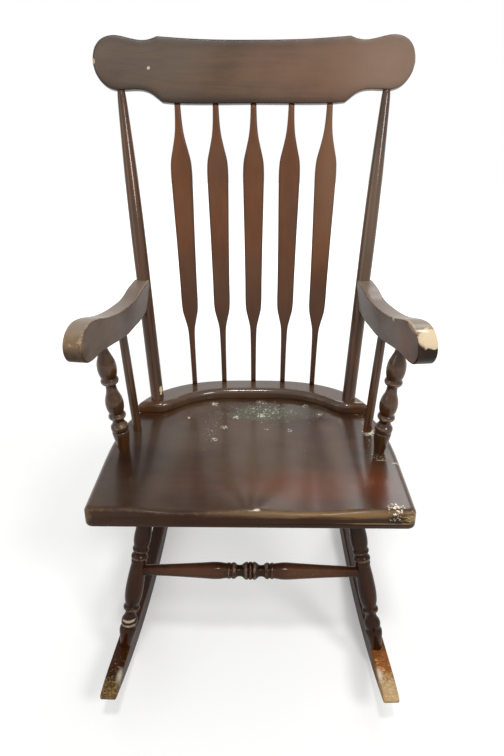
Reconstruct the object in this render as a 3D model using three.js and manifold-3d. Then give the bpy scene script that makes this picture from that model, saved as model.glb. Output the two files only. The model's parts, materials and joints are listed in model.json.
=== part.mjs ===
// A Boston rocking chair: sawn rockers, turned legs, a saddled plank seat, a back of arrow spindles
// under a bowed crest rail, and scrolled arms. Lengths are in millimetres.
// X runs to the right as seen from the front, Y runs back from the seat's front edge, Z runs up.

import * as THREE from 'three';
import { mergeVertices } from 'three/addons/utils/BufferGeometryUtils.js';
import Module from 'manifold-3d';

const wasm = await Module();
wasm.setup();

const degree = Math.PI / 180;

// Fit of every joint, how far a cutter runs past a face, and how finely round stretches are cut
const clearance = 0.3;
const overrun = 4;
const turnedSides = 12;
const slimSides = 10;
const screwSides = 8;

const seat = {
  frontHeight: 412,
  slope: 2.8 * degree,
  width: 555,
  thickness: 36.5,
  cornerRadius: 7,
  edgeRadius: 6.5,
  rearLip: 3,
  scoopDepth: 7,
  scoopEdgeInset: 60,
  scoopSideRun: 105,
  scoopRearRun: 70,
  pommelHalfWidth: 46,
  pommelLength: 170,
};

// Half of the seat's side outline, as shares of the half width and of the way back to the rail's ends
const seatSideShares = [[1, 0.04], [0.999, 0.3], [0.995, 0.6], [0.973, 0.8], [0.936, 0.93]];

// How far out the rings of the seat's top skin lie
const seatRingShares = [0.9, 0.77, 0.62, 0.45, 0.27, 0.12];

const rail = {
  seatInset: 31.5,
  thickness: 22,
  edgeRadius: 7,
  endFront: 354,
  rearBulge: 131.5,
  frontRise: 73.5,
  hornLength: 64,
};

// The rail's rear and front edges are flattened curves, set by these exponents
const rearRoundness = 2.87;
const rearFullness = 0.7;
const frontRoundness = 3.15;

const post = {
  diameter: 29.5,
  endInset: 39,
  setback: 29,
  seatTenon: 22,
  crestTenon: 34,
  earInset: 51,
  earBottomShare: 0.17,
};
const postShares = [
  [0, 0.93], [0.14, 0.95], [0.33, 0.98], [0.53, 1], [0.7, 0.93], [0.86, 0.76], [0.985, 0.575], [1, 0.51],
];

const spindle = {
  count: 5,
  basePitchShare: 0.27,
  topPitchShare: 0.2445,
  rearInset: 11,
  railTenon: 16,
  crestTenon: 22,
  paddleWidth: 44,
  paddleThickness: 10,
};

// Width of an arrow spindle along its seen length, as shares of the paddle's width
const spindleShares = [
  [0, 0.25], [0.08, 0.26], [0.16, 0.29], [0.215, 0.36], [0.25, 0.56], [0.285, 0.76],
  [0.4, 0.83], [0.54, 0.89], [0.7, 0.98], [0.78, 1], [0.815, 0.93], [0.86, 0.66],
  [0.9, 0.44], [0.94, 0.33], [1, 0.27],
];

const crest = {
  lean: 16.4 * degree,
  setback: 211.5,
  rise: 582.5,
  halfWidth: 316.5,
  height: 123.5,
  thickness: 21,
  bow: 29,
  bowSteps: 16,
};

// Half of the crest's outline from the bottom middle round the ear to the top middle:
// shares of the half width and of the height
const crestShares = [
  [0, 0], [0.5, -0.01], [0.582, 0.004], [0.612, 0.063], [0.655, 0.141], [0.7, 0.18], [0.75, 0.186],
  [0.81, 0.175], [0.868, 0.17], [0.914, 0.204], [0.953, 0.282], [0.985, 0.413], [1, 0.554],
  [0.999, 0.658], [0.985, 0.803], [0.953, 0.912], [0.912, 0.97], [0.868, 0.991], [0.825, 0.982],
  [0.778, 0.959], [0.735, 0.94], [0.7, 0.935], [0.668, 0.944], [0.637, 0.967], [0.607, 1],
  [0.488, 0.987], [0.344, 0.974], [0.17, 0.969], [0, 0.969],
];

const arm = {
  thickness: 32,
  edgeRadius: 2.5,
  length: 395,
  depth: 98,
  rise: 249,
  spreadShare: 0.115,
  outset: 3,
  pastPost: 4.5,
};

// The arm's side outline, from the lower rear corner forward, round the nose and back along the top:
// shares of the length from the rear end, and shares of the depth down from the rear top corner
const armLowerShares = [
  [0, 0.49], [0.1, 0.57], [0.21, 0.612], [0.33, 0.59], [0.45, 0.56], [0.65, 0.4], [0.78, 0.297],
  [0.875, 0.265], [0.94, 0.215],
];
const armNoseShares = [
  [0.976, 0.13], [0.997, 0], [0.999, -0.14], [0.985, -0.25], [0.955, -0.345], [0.915, -0.39],
];
const armUpperShares = [
  [0.862, -0.39], [0.775, -0.31], [0.665, -0.165], [0.535, -0.04], [0.375, 0.05], [0.255, 0.082],
  [0.14, 0.02], [0, 0],
];

const armPost = {
  diameter: 35,
  edgeInset: 33.7,
  setback: 195,
  topSetback: 188,
  seatTenon: 20,
  armTenon: 24,
};

// Turning profile of an arm post from the seat up: shares of its seen length and of its greatest diameter
const armPostShares = [
  [0, 0.57], [0.05, 0.66], [0.12, 0.8], [0.18, 0.9], [0.2, 0.9], [0.21, 0.84], [0.22, 0.9],
  [0.24, 0.945], [0.26, 0.9], [0.285, 0.68], [0.303, 0.62], [0.325, 0.66], [0.335, 0.84], [0.355, 0.935],
  [0.375, 0.84], [0.383, 0.77], [0.43, 0.92], [0.483, 0.96], [0.53, 0.86], [0.58, 0.64], [0.622, 0.555],
  [0.655, 0.58], [0.667, 0.84], [0.69, 0.945], [0.71, 0.86], [0.718, 0.82], [0.76, 0.95], [0.805, 1],
  [0.86, 0.93], [0.91, 0.72], [0.955, 0.53], [1, 0.46],
];

const armSpindle = {
  diameter: 17.5,
  edgeInset: 43.9,
  setback: 278,
  topSetback: 297,
  seatTenon: 20,
  armTenon: 20,
};
const armSpindleShares = [[0, 0.97], [0.3, 1], [0.7, 1], [1, 0.95]];

const rocker = {
  radius: 1180,
  balanceY: 311,
  frontReach: 407,
  rearReach: 402,
  facet: 30,
  width: 28,
  edgeRadius: 3,
  depth: 42,
  taperDepth: 18,
  tipDepth: 7,
  noseLength: 70,
  frontTaper: 239,
  rearTaper: 200,
  seatInset: 42.5,
  toeInShare: 0.031,
};

const leg = {
  diameter: 33,
  seatTenon: 24,
  rockerTenon: 20,
  tenonDiameter: 17,
  footInset: 3.5,
  footSink: 2,
  frontFootY: 26,
  frontTopInset: 95.5,
  frontTopY: 82,
  rearFootSetback: 138,
  rearTopInset: 99.5,
  rearTopSetback: 48,
};

// Turning profile of a leg from the rocker up: shares of its seen length and of its greatest diameter
const legShares = [
  [0, 0.61], [0.07, 0.83], [0.11, 0.95], [0.13, 0.95], [0.15, 0.8], [0.16, 0.86], [0.18, 0.915],
  [0.2, 0.85], [0.22, 0.68], [0.245, 0.6], [0.262, 0.68], [0.268, 0.84], [0.279, 0.92], [0.291, 0.84],
  [0.297, 0.76], [0.34, 0.92], [0.398, 1], [0.505, 0.92], [0.585, 0.8], [0.602, 0.86], [0.612, 0.82],
  [0.629, 0.93], [0.642, 0.86], [0.655, 0.72], [0.68, 0.91], [0.697, 0.82], [0.73, 0.92], [0.77, 0.94],
  [0.83, 0.86], [0.91, 0.75], [1, 0.69],
];

const stretcher = { diameter: 32.5, height: 231, axisGap: 3 };

// Turning profile of the front stretcher from its middle out: shares of half its length between the
// legs' axes and of its greatest diameter
const frontStretcherShares = [
  [0, 1], [0.012, 0.97], [0.018, 0.88], [0.024, 0.97], [0.04, 0.98], [0.052, 0.9], [0.075, 0.68],
  [0.098, 0.64], [0.118, 0.7], [0.132, 0.86], [0.146, 0.92], [0.163, 0.86], [0.17, 0.8], [0.178, 0.87],
  [0.193, 0.91], [0.207, 0.83], [0.214, 0.84], [0.29, 0.95], [0.45, 0.85], [0.7, 0.68], [1, 0.55],
];
const rearStretcherShares = [[0, 0.8], [0.3, 0.76], [0.7, 0.62], [1, 0.54]];

// Screws: what all share, then how far each reaches into the piece that it holds
const screw = { shank: 4.4, head: 9, headDepth: 3.4, point: 6, lead: 0.8, sink: 1.5 };
const armScrew = { grip: 26, rearDrop: 20 };
const railScrew = { grip: 12, innerShare: 0.4, outerShare: 0.68, rearInset: 34 };
const rockerScrew = { grip: 24 };
const crestPin = { diameter: 4.5, length: 14, rise: 16, sink: 0.5 };

const wood = { roughness: 0.38, metalness: 0 };
const finishes = {
  seat: new THREE.MeshStandardMaterial({ color: '#4a2f24', ...wood }),
  sawn: new THREE.MeshStandardMaterial({ color: '#45302a', ...wood }),
  turned: new THREE.MeshStandardMaterial({ color: '#4b2c20', ...wood }),
  pin: new THREE.MeshStandardMaterial({ color: '#5a4030', roughness: 0.6, metalness: 0 }),
  steel: new THREE.MeshStandardMaterial({ color: '#8c8a80', roughness: 0.4, metalness: 0.9 }),
};

// Solids

function solidOf(geometry) {
  const bare = geometry.index ? geometry.clone() : geometry;
  bare.deleteAttribute('normal');
  bare.deleteAttribute('uv');
  const merged = mergeVertices(bare);
  const corners = Array.from(merged.index.array);
  const triangles = [];
  for (let i = 0; i < corners.length; i += 3) {
    const triangle = corners.slice(i, i + 3);
    if (new Set(triangle).size === triangle.length) triangles.push(...triangle);
  }
  return new wasm.Manifold(new wasm.Mesh({
    numProp: 3,
    vertProperties: new Float32Array(merged.attributes.position.array),
    triVerts: new Uint32Array(triangles),
  }));
}

function geometryOf(solid) {
  const mesh = solid.getMesh();
  const geometry = new THREE.BufferGeometry();
  geometry.setAttribute('position', new THREE.BufferAttribute(mesh.vertProperties, mesh.numProp));
  geometry.setIndex(new THREE.BufferAttribute(mesh.triVerts, 1));
  geometry.computeVertexNormals();
  return geometry;
}

// A piece of the chair: its solid in its own frame, and the place of that frame in the chair.
// shape(grow) gives the piece's geometry with the parts that enter its neighbours grown by a clearance.
class Piece {
  constructor(name, finish, place, shape) {
    this.name = name;
    this.finish = finish;
    this.place = place;
    this.solid = solidOf(shape(0));
    this.cutter = solidOf(shape(clearance));
  }

  cutBy(others) {
    for (const other of others) {
      const toHere = this.place.clone().invert().multiply(other.place);
      this.solid = this.solid.subtract(other.cutter.transform(toHere.elements));
    }
    return this;
  }

  mesh() {
    const mesh = new THREE.Mesh(geometryOf(this.solid), this.finish);
    mesh.name = this.name;
    this.place.decompose(mesh.position, mesh.quaternion, mesh.scale);
    return mesh;
  }
}

// Closed skin through rings of points that all hold the same count, from the first ring to the last
function ringSkin(rings) {
  const count = rings[0].length;
  const positions = [];
  const push = (...points) => points.forEach((point) => positions.push(point.x, point.y, point.z));
  const total = (ring) => ring.reduce((sum, point) => sum.add(point), new THREE.Vector3());
  const middle = (ring) => total(ring).divideScalar(count);
  const first = middle(rings[0]);
  const last = middle(rings[rings.length - 1]);
  for (let j = 0; j < count; j += 1) {
    const next = (j + 1) % count;
    push(first, rings[0][next], rings[0][j]);
    for (let i = 0; i + 1 < rings.length; i += 1) {
      push(rings[i][j], rings[i][next], rings[i + 1][next]);
      push(rings[i][j], rings[i + 1][next], rings[i + 1][j]);
    }
    push(last, rings[rings.length - 1][j], rings[rings.length - 1][next]);
  }
  const geometry = new THREE.BufferGeometry();
  geometry.setAttribute('position', new THREE.Float32BufferAttribute(positions, 3));
  return geometry;
}

// A turning about its own Z axis. Each station is a distance along the axis and a diameter.
function turning(stations, grow, count) {
  const points = stations.map(([along, diameter]) => new THREE.Vector2(diameter / 2 + grow, along));
  points[0].y -= grow;
  points[points.length - 1].y += grow;
  const start = new THREE.Vector2(0, points[0].y);
  const end = new THREE.Vector2(0, points[points.length - 1].y);
  return new THREE.LatheGeometry([start, ...points, end], count).rotateX(Math.PI / 2);
}

function stationsFrom(shares, length, diameter) {
  return shares.map(([along, wide]) => [along * length, wide * diameter]);
}

// A frame at one point whose Z axis runs to another, with its Y axis kept as near to the rear as it can be
function frameAlong(from, to) {
  const along = to.clone().sub(from).normalize();
  const right = new THREE.Vector3(0, 1, 0).cross(along).normalize();
  const back = along.clone().cross(right);
  return new THREE.Matrix4().makeBasis(right, back, along).setPosition(from);
}

// Places on the chair

const seatPlace = new THREE.Matrix4().makeRotationX(-seat.slope).setPosition(0, 0, seat.frontHeight);
const onSeat = (x, y, z = 0) => new THREE.Vector3(x, y, z).applyMatrix4(seatPlace);

const crestPlace = new THREE.Matrix4().makeRotationX(-crest.lean)
  .setPosition(0, rail.endFront + crest.setback, seat.frontHeight + crest.rise);
const crestBow = (x) => -crest.bow * (x / crest.halfWidth) ** 2;
const crestMiddle = (x) => crestBow(x) + crest.thickness / 2;
const inCrest = (x, up) => new THREE.Vector3(x, crestMiddle(x), up).applyMatrix4(crestPlace);

const railHalfWidth = seat.width / 2 - rail.seatInset;

function rearEdge(x, lip = 0) {
  const share = Math.min(Math.abs(x) / (railHalfWidth + lip), 1);
  return rail.endFront + (rail.rearBulge + lip) * (1 - share ** rearRoundness) ** rearFullness;
}

const curveHalfWidth = railHalfWidth - rail.hornLength;

function frontEdge(x) {
  const share = Math.min(Math.abs(x) / curveHalfWidth, 1);
  return rail.endFront + rail.frontRise * (1 - share ** frontRoundness);
}

// A back post runs from the rail's top into the crest's ear
const railTop = clearance + rail.thickness;

function postBase(side) {
  return onSeat(side * (railHalfWidth - post.endInset), rail.endFront + post.setback, railTop);
}

function postTop(side) {
  return inCrest(side * (crest.halfWidth - post.earInset), post.earBottomShare * crest.height);
}

function postAt(side, height) {
  const base = postBase(side);
  const top = postTop(side);
  return base.clone().lerp(top, (height - base.z) / (top.z - base.z));
}

// The rockers toe in towards the rear and touch the floor under the chair's centre of mass
const rockerMiddle = seat.width / 2 - rocker.seatInset;
const rockerCentre = (y) => rockerMiddle - rocker.toeInShare * (y - rocker.balanceY);

function rockerBottom(y) {
  const off = y - rocker.balanceY;
  return rocker.radius - Math.sqrt(rocker.radius ** 2 - off ** 2);
}

// The rockers grow thinner towards both ends, and their top rounds down to the floor side at the tips
function rockerDepth(y) {
  const { clamp } = THREE.MathUtils;
  const fromFront = y - rocker.balanceY + rocker.frontReach;
  const fromRear = rocker.balanceY + rocker.rearReach - y;
  const taper = clamp(Math.min(fromFront / rocker.frontTaper, fromRear / rocker.rearTaper), 0, 1);
  const whole = rocker.taperDepth + (rocker.depth - rocker.taperDepth) * Math.sin(taper * Math.PI / 2);
  const nose = clamp(Math.min(fromFront, fromRear) / rocker.noseLength, 0, 1);
  return rocker.tipDepth + (whole - rocker.tipDepth) * Math.sqrt(1 - (1 - nose) ** 2);
}

const rockerTop = (y) => rockerBottom(y) + rockerDepth(y);

// Seat

function scoopAt(x, y) {
  const { smoothstep } = THREE.MathUtils;
  const fromSide = seat.width / 2 - Math.abs(x) - seat.scoopEdgeInset;
  const side = smoothstep(fromSide, 0, seat.scoopSideRun);
  const rear = smoothstep(frontEdge(x) - y, 0, seat.scoopRearRun);
  const pommel = Math.exp(-((x / seat.pommelHalfWidth) ** 2)) * (1 - smoothstep(y, 0, seat.pommelLength));
  return seat.scoopDepth * side * rear * (1 - pommel);
}

function seatOutline() {
  const half = seat.width / 2;
  const corner = seat.cornerRadius;
  const frontSteps = 8;
  const cornerSteps = 3;
  const rearSteps = 11;
  const points = [];
  for (let i = 0; i < frontSteps; i += 1) points.push([(half - corner) * (i / frontSteps), 0]);
  for (let i = 0; i <= cornerSteps; i += 1) {
    const turn = (i / cornerSteps) * Math.PI / 2;
    points.push([half - corner + corner * Math.sin(turn), corner - corner * Math.cos(turn)]);
  }
  for (const [wide, back] of seatSideShares.slice(1)) points.push([wide * half, back * rail.endFront]);
  const rearHalf = railHalfWidth + seat.rearLip;
  for (let i = rearSteps - 1; i >= 0; i -= 1) {
    const x = rearHalf * Math.sin((i / rearSteps) * Math.PI / 2);
    points.push([x, rearEdge(x, seat.rearLip)]);
  }
  const mirrored = points.slice(1, -1).reverse().map(([x, y]) => [-x, y]);
  return [...points, ...mirrored].map(([x, y]) => new THREE.Vector2(x, y));
}

function seatShape() {
  const outline = seatOutline();
  const centre = new THREE.Vector2(0, rearEdge(0) / 2);
  const insetRing = (inset, share, z, scooped) => outline.map((point) => {
    const reach = point.clone().sub(centre);
    const flat = centre.clone().addScaledVector(reach, share * (1 - inset / reach.length()));
    return new THREE.Vector3(flat.x, flat.y, z - (scooped ? scoopAt(flat.x, flat.y) : 0));
  });
  const round = seat.edgeRadius;
  const lowerSteps = 2;
  const upperSteps = 3;
  const rings = [];
  for (let i = 0; i <= lowerSteps; i += 1) {
    const turn = (i / lowerSteps) * Math.PI / 2;
    const up = round * (1 - Math.cos(turn));
    rings.push(insetRing(round * (1 - Math.sin(turn)), 1, up - seat.thickness, false));
  }
  for (let i = 0; i <= upperSteps; i += 1) {
    const turn = (i / upperSteps) * Math.PI / 2;
    rings.push(insetRing(round * (1 - Math.cos(turn)), 1, -round * (1 - Math.sin(turn)), true));
  }
  for (const share of seatRingShares) rings.push(insetRing(round, share, 0, true));
  return ringSkin(rings);
}

// Rail

function railShape() {
  const half = railHalfWidth;
  const rearSteps = 10;
  const frontSteps = 9;
  const rear = [];
  for (let i = 0; i <= rearSteps; i += 1) {
    const x = half * Math.sin((i / rearSteps) * Math.PI / 2);
    rear.push([x, rearEdge(x)]);
  }
  const front = [];
  for (let i = frontSteps; i > 0; i -= 1) {
    const x = curveHalfWidth * Math.sin((i / frontSteps) * Math.PI / 2);
    front.push([x, frontEdge(x)]);
  }
  const right = [...rear, ...front];
  const left = [[0, frontEdge(0)], ...right.slice(1).reverse().map(([x, y]) => [-x, y])];
  const shape = new THREE.Shape([...right, ...left].map(([x, y]) => new THREE.Vector2(x, y)));
  const round = rail.edgeRadius;
  const blank = solidOf(new THREE.ExtrudeGeometry(shape, {
    depth: rail.thickness,
    steps: 1,
    bevelSize: round,
    bevelOffset: -round,
    bevelThickness: round,
    bevelSegments: 2,
  }).translate(0, 0, -round));
  const below = new THREE.BoxGeometry(3 * half, 3 * half, 2 * rail.thickness)
    .translate(0, rail.endFront, -rail.thickness);
  return geometryOf(blank.subtract(solidOf(below)));
}

// Crest

function crestShape() {
  const right = crestShares.map(([wide, up]) => [wide * crest.halfWidth, up * crest.height]);
  const left = right.slice(1, -1).reverse().map(([x, up]) => [-x, up]);
  const outline = new THREE.Shape([...right, ...left].map(([x, up]) => new THREE.Vector2(x, up)));
  const reach = crest.bow + crest.thickness + overrun;
  const face = new THREE.ExtrudeGeometry(outline, { depth: 2 * reach, bevelEnabled: false })
    .rotateX(Math.PI / 2).translate(0, reach, 0);
  const half = crest.halfWidth + overrun;
  const rim = [];
  for (let i = 0; i <= crest.bowSteps; i += 1) {
    const x = half * (2 * (i / crest.bowSteps) - 1);
    rim.push(new THREE.Vector2(x, crestBow(x)));
  }
  const back = rim.map((point) => new THREE.Vector2(point.x, point.y + crest.thickness)).reverse();
  const bowed = new THREE.ExtrudeGeometry(new THREE.Shape([...rim, ...back]), {
    depth: crest.height + 2 * overrun,
    bevelEnabled: false,
  }).translate(0, 0, -overrun);
  return geometryOf(solidOf(face).intersect(solidOf(bowed)));
}

// Arms, in a frame that runs forward along the arm from its rear top edge, up, and across its thickness

const armRearHeight = seat.frontHeight + arm.rise;
const armScrewHeight = armRearHeight - armScrew.rearDrop;

function armPlace(side) {
  const forward = new THREE.Vector3(side * arm.spreadShare, -1, 0).normalize();
  const up = new THREE.Vector3(0, 0, 1);
  const atPost = postAt(side, armScrewHeight);
  return new THREE.Matrix4().makeBasis(forward, up, forward.clone().cross(up))
    .setPosition(atPost.x + side * arm.outset, atPost.y + arm.pastPost, armRearHeight);
}

// Place on the arm's underside, on its middle line, at a distance back from the seat's front edge
function underArm(side, setback) {
  const place = armPlace(side);
  const rear = new THREE.Vector3().setFromMatrixPosition(place);
  const along = (rear.y - setback) * Math.hypot(1, arm.spreadShare) / arm.length;
  const next = armLowerShares.findIndex(([share]) => share > along);
  const [fromAlong, fromDown] = armLowerShares[next - 1];
  const [toAlong, toDown] = armLowerShares[next];
  const down = THREE.MathUtils.mapLinear(along, fromAlong, toAlong, fromDown, toDown);
  return new THREE.Vector3(along * arm.length, -down * arm.depth, 0).applyMatrix4(place);
}

// How far ahead of the arm's rear top edge the back post's middle line passes, at a depth below that edge
function postAhead(side, depth) {
  const place = armPlace(side);
  const rear = new THREE.Vector3().setFromMatrixPosition(place);
  const forward = new THREE.Vector3(1, 0, 0).transformDirection(place);
  return postAt(side, armRearHeight - depth).sub(rear).dot(forward);
}

// The arm's rear end runs up the post's middle line, so that it is hollowed for the post's front half
function armShape(side) {
  const outlineSteps = 40;
  const points = [...armLowerShares, ...armNoseShares, ...armUpperShares]
    .map(([along, down]) => new THREE.Vector2(along * arm.length, -down * arm.depth));
  for (const end of [points[0], points[points.length - 1]]) {
    end.x = postAhead(side, -end.y);
  }
  const outline = new THREE.Shape(new THREE.SplineCurve(points).getPoints(outlineSteps));
  return slab(outline, arm.thickness, arm.edgeRadius, 1);
}

// Board of a given thickness about its middle plane, with its edges rounded within the outline
function slab(outline, thickness, round, edgeSteps) {
  return new THREE.ExtrudeGeometry(outline, {
    depth: thickness - 2 * round,
    steps: 1,
    bevelSize: round,
    bevelOffset: -round,
    bevelThickness: round,
    bevelSegments: edgeSteps,
  }).translate(0, 0, round - thickness / 2);
}

// Rockers, in a frame that runs back along the rocker from its resting place, up, and across its width

function rockerPlace(side) {
  const back = new THREE.Vector3(-side * rocker.toeInShare, 1, 0).normalize();
  const up = new THREE.Vector3(0, 0, 1);
  return new THREE.Matrix4().makeBasis(back, up, back.clone().cross(up))
    .setPosition(side * rockerMiddle, rocker.balanceY, 0);
}

function rockerShape() {
  const noseSteps = 4;
  const topSteps = 24;
  const front = rocker.balanceY - rocker.frontReach + rocker.tipDepth / 2;
  const rear = rocker.balanceY + rocker.rearReach - rocker.tipDepth / 2;
  const outline = [];
  const push = (y, z) => outline.push(new THREE.Vector2(y - rocker.balanceY, z));
  const nose = (y, outward) => {
    const tilt = Math.asin((y - rocker.balanceY) / rocker.radius);
    const half = rockerDepth(y) / 2;
    for (let i = 0; i <= noseSteps; i += 1) {
      const turn = outward * (i / noseSteps - 0.5) * Math.PI;
      const ahead = new THREE.Vector2(outward * half * Math.cos(turn), half * Math.sin(turn));
      ahead.rotateAround(new THREE.Vector2(), tilt);
      push(y + ahead.x, rockerBottom(y) + half + ahead.y);
    }
  };
  const facetsAhead = Math.floor(rocker.frontReach / rocker.facet) - 1;
  const facetsBehind = Math.floor(rocker.rearReach / rocker.facet) - 1;
  for (let i = -facetsAhead; i <= facetsBehind + 1; i += 1) {
    const y = rocker.balanceY + (i - 0.5) * rocker.facet;
    push(y, rockerBottom(y) - rockerBottom(rocker.balanceY + rocker.facet / 2));
  }
  nose(rear, 1);
  for (let i = 1; i < topSteps; i += 1) {
    const y = THREE.MathUtils.lerp(rear, front, (1 - Math.cos((i / topSteps) * Math.PI)) / 2);
    push(y, rockerTop(y));
  }
  nose(front, -1);
  return slab(new THREE.Shape(outline), rocker.width, rocker.edgeRadius, 1);
}

// Pieces

const pieces = new Map();

function add(name, finish, place, shape) {
  const piece = new Piece(name, finish, place, shape);
  pieces.set(name, piece);
  return piece;
}

// Stations of a turning between its two seen ends, with a tenon of the same width past each end
function withTenons(seen, startTenon, endTenon) {
  const [, startWide] = seen[0];
  const [length, endWide] = seen[seen.length - 1];
  return [[-startTenon, startWide], ...seen, [length + endTenon, endWide]];
}

function addTurned(name, from, to, shares, sizes, startTenon, endTenon, count) {
  const seen = stationsFrom(shares, from.distanceTo(to), sizes.diameter);
  const stations = withTenons(seen, startTenon, endTenon);
  return add(name, finishes.turned, frameAlong(from, to), (grow) => turning(stations, grow, count));
}

// An arrow spindle is a turning shaved flat on its front and back
function addSpindle(name, from, to) {
  const seen = stationsFrom(spindleShares, from.distanceTo(to), spindle.paddleWidth);
  const stations = withTenons(seen, spindle.railTenon, spindle.crestTenon);
  return add(name, finishes.turned, frameAlong(from, to), (grow) => {
    const geometry = turning(stations, grow, turnedSides);
    const limit = spindle.paddleThickness / 2 + grow;
    const { position } = geometry.attributes;
    for (let i = 0; i < position.count; i += 1) {
      position.setY(i, THREE.MathUtils.clamp(position.getY(i), -limit, limit));
    }
    return geometry;
  });
}

// A leg has a narrower tenon and a shoulder that sits in the top of its rocker
function addLeg(name, foot, top) {
  const seen = stationsFrom(legShares, foot.distanceTo(top), leg.diameter);
  const [, ...rest] = withTenons(seen, 0, leg.seatTenon);
  const [[, footWide], ...upper] = rest;
  return add(name, finishes.turned, frameAlong(foot, top), (grow) => turning(
    [[-leg.rockerTenon, leg.tenonDiameter], [-grow, leg.tenonDiameter], [-grow, footWide], ...upper],
    grow,
    turnedSides,
  ));
}

// A stretcher runs between the axes of two legs and is the same on both sides of its middle
function addStretcher(name, [left, right], shares) {
  const at = ({ foot, top }) => foot.clone().lerp(top, (stretcher.height - foot.z) / (top.z - foot.z));
  const from = at(left);
  const to = at(right);
  const half = from.distanceTo(to) / 2;
  const reach = half - stretcher.axisGap;
  const inner = stationsFrom(shares, half, stretcher.diameter).filter(([along]) => along < reach);
  const outward = [...inner, [reach, shares[shares.length - 1][1] * stretcher.diameter]];
  const mirrored = outward.slice(1).reverse().map(([along, wide]) => [half - along, wide]);
  const stations = [...mirrored, ...outward.map(([along, wide]) => [half + along, wide])];
  const shape = (grow) => turning(stations, grow, turnedSides);
  const piece = add(name, finishes.turned, frameAlong(from, to), shape);
  left.piece.cutBy([piece]);
  right.piece.cutBy([piece]);
}

// A countersunk screw with its head at its first end. The hole for it runs on out past the head.
function addScrew(name, from, to) {
  const length = from.distanceTo(to);
  return add(name, finishes.steel, frameAlong(from, to), (grow) => turning([
    ...(grow > 0 ? [[-overrun, screw.head]] : []),
    [0, screw.head],
    [screw.headDepth, screw.shank],
    [length - screw.point, screw.shank],
    [length, screw.lead],
  ], grow, screwSides));
}

const wholeSeat = add('seat', finishes.seat, seatPlace, seatShape);
const railPlace = seatPlace.clone().multiply(new THREE.Matrix4().makeTranslation(0, 0, clearance));
const wholeRail = add('rear_rail', finishes.sawn, railPlace, railShape);
const wholeCrest = add('crest_rail', finishes.sawn, crestPlace, crestShape);

// Spindles, evenly spaced on the rail and fanned out to the crest
const spindles = Array.from({ length: spindle.count }, (_, i) => {
  const fromMiddle = i - (spindle.count - 1) / 2;
  const baseX = fromMiddle * spindle.basePitchShare * railHalfWidth;
  const topX = fromMiddle * spindle.topPitchShare * crest.halfWidth;
  const foot = onSeat(baseX, rearEdge(baseX) - spindle.rearInset, railTop);
  return addSpindle(`back_spindle_${i + 1}`, foot, inCrest(topX, 0));
});
wholeRail.cutBy(spindles);
wholeCrest.cutBy(spindles);

// Screws up through the seat into the rail
const { innerShare, outerShare } = railScrew;
const railScrews = [-outerShare, -innerShare, innerShare, outerShare].map((share, i) => {
  const x = share * railHalfWidth;
  const y = rearEdge(x) - railScrew.rearInset;
  const head = onSeat(x, y, screw.sink - seat.thickness);
  return addScrew(`rail_screw_${i + 1}`, head, onSeat(x, y, railScrew.grip));
});
wholeSeat.cutBy(railScrews);
wholeRail.cutBy(railScrews);

const sides = [['left', -1], ['right', 1]];
const legs = { front: [], rear: [] };

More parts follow.
